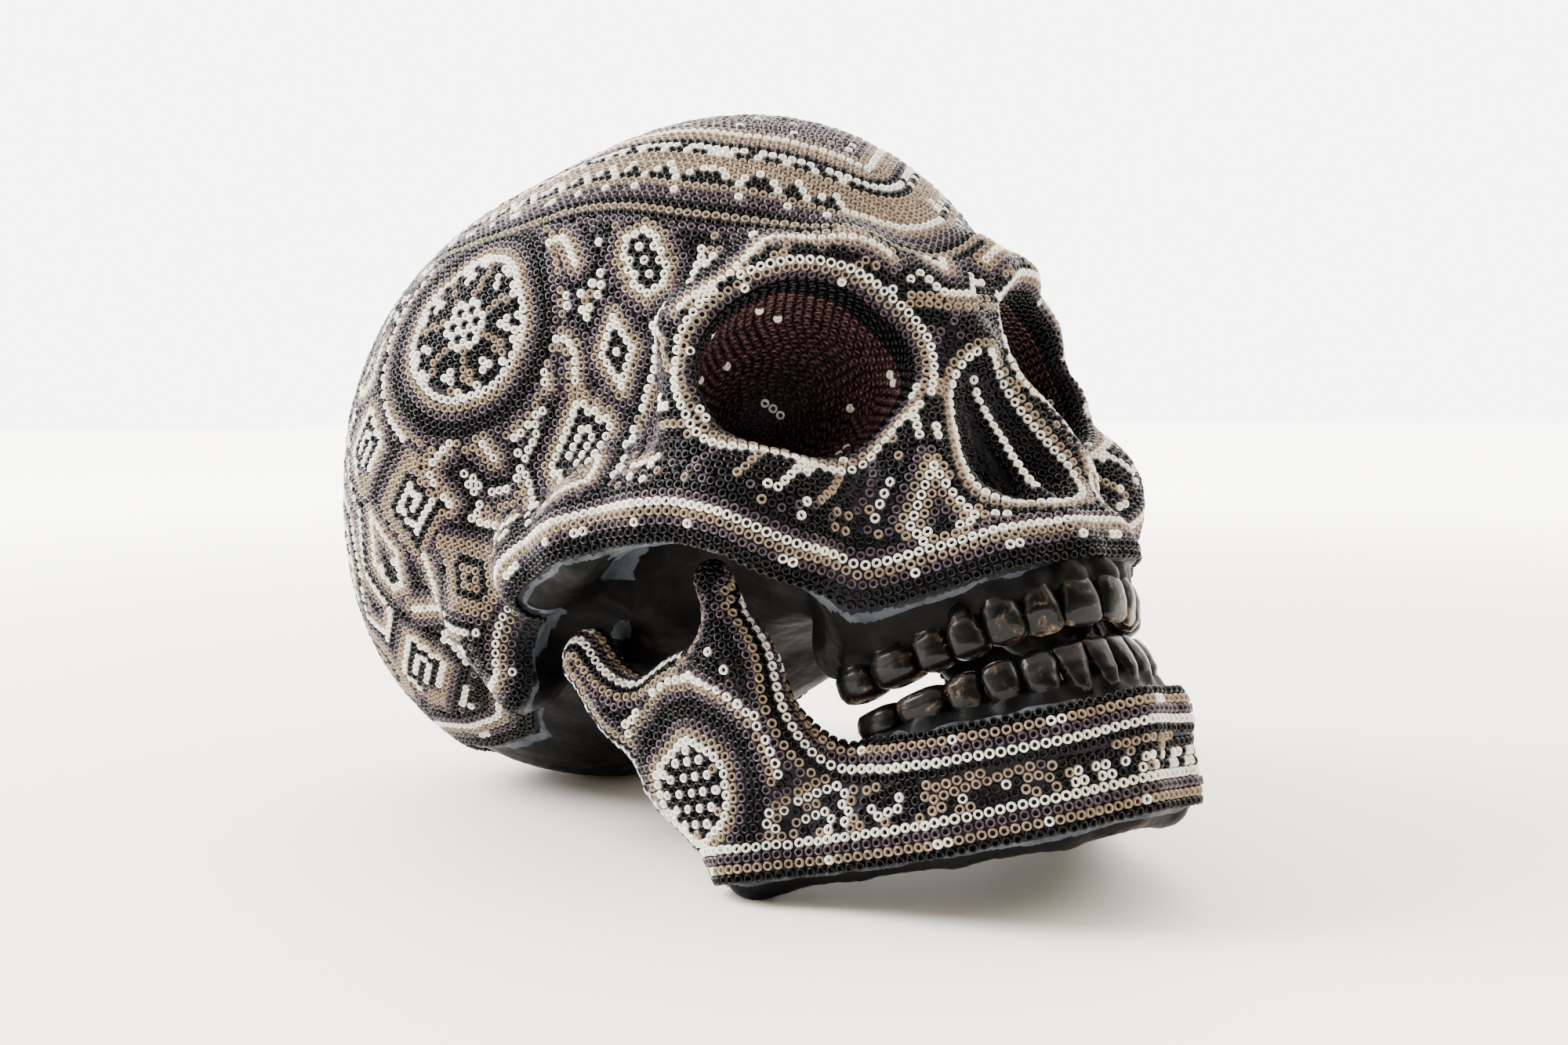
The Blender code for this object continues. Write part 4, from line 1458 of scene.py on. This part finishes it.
def add_lights():
    """A white room, bright behind the skull and dim in front, a window and a weak fill."""
    world = bpy.data.worlds.new("white_room")
    world.use_nodes = True
    tree = world.node_tree
    inputs = tree.nodes["Background"].inputs
    place = tree.nodes.new("ShaderNodeTexCoord")
    towards = tree.nodes.new("ShaderNodeVectorMath")
    towards.operation = "DOT_PRODUCT"
    towards.inputs[1].default_value = BRIGHT_SIDE
    tree.links.new(place.outputs["Generated"], towards.inputs[0])
    source = towards.outputs["Value"]
    strength = mapped(tree, source, (-0.6, 0.8), (DIM_STRENGTH, BRIGHT_STRENGTH))
    tree.links.new(strength, inputs["Strength"])
    tree.links.new(ramp(tree, source, [(0.0, WARM_LIGHT), (0.7, WHITE_LIGHT)]), inputs["Color"])
    bpy.context.scene.world = world
    middle = (0, 0, 0.08)
    add_light("window", (-1.1, 1.0, 1.1), middle, 1.2, 110.0, (0.96, 0.98, 1.0))
    add_light("fill", (0.9, -1.0, 1.1), middle, 0.7, 10.0, (1.0, 0.97, 0.92))


def add_camera():
    data = bpy.data.cameras.new("camera")
    data.sensor_width = 36.0
    data.lens = LENS
    data.clip_start = 0.01
    camera = bpy.data.objects.new("camera", data)
    turn = Matrix((CAMERA_RIGHT, CAMERA_UP, CAMERA_BACK)).transposed().to_4x4()
    camera.matrix_world = Matrix.Translation(CAMERA_PLACE) @ turn
    bpy.context.scene.collection.objects.link(camera)
    bpy.context.scene.camera = camera


def skull_cavity(x, y, z):
    """The hollow of the casting, open below through the round hole of the skull base."""
    p = (np.abs(x), y, z)
    hollow = join(ball(p, (0, 25, 44), (66.7, 73.7, 61.7)), ball(p, (0, -28, 40), (41.7, 39.7, 41.7)), 16)
    hollow = join(hollow, ball(p, (0, 60, 22), (49.7, 31.7, 38.7)), 16)
    return join(hollow, rod(p, (0, 26, -60), (0, 26, 20), 15, 15), 6)


def add_half(skin, guide, name, body, node, cavity, teeth, looks):
    """All the pieces of the cranium or the jaw; node is its name in the frame."""
    beads_look, resin, paint, bed, smear = looks
    row, arch, side = teeth
    upper = side == "upper"
    guide(skin)
    beads, letters = skin.pack()
    add_beads(skin, beads, letters, name, body, beads_look, f"{node}_bead_mosaic")
    places = tooth_places(row, arch, upper)
    add_casting(skin, f"{name}_casting", body, resin, cavity, places, node)
    add_wax(skin, name, body, bed, smear)
    add_teeth(side, places, paint, body, upper)


def main():
    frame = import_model()
    cad_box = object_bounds()
    looks = (
        bead_materials(),
        resin_material(),
        tooth_material(),
        wax_material("dark_wax", (0.003, 0.003, 0.006), (0.009, 0.009, 0.015), 0.5),
        wax_material("thin_wax", (0.020, 0.024, 0.030), (0.065, 0.078, 0.095), 0.45),
    )

    skull = Skin(cranium_field, cranium_beaded, CRANIUM_BOX, SKULL_VOXEL)
    teeth = (UPPER_TEETH, UPPER_ARCH, "upper")
    add_half(skull, guide_cranium, "skull", "cranium", "cranium", skull_cavity, teeth, looks)
    jaw = Skin(mandible_field, jaw_beaded, MANDIBLE_BOX, JAW_VOXEL)
    teeth = (LOWER_TEETH, LOWER_ARCH, "lower")
    add_half(jaw, guide_jaw, "jaw", "jaw", "mandible", None, teeth, looks)

    steel = steel_material()
    for name in ("left_jaw_pin", "right_jaw_pin"):
        for slot in frame["nodes"][name].material_slots:
            slot.material = steel

    add_floor(cad_box[0][2])
    add_lights()
    add_camera()


main()
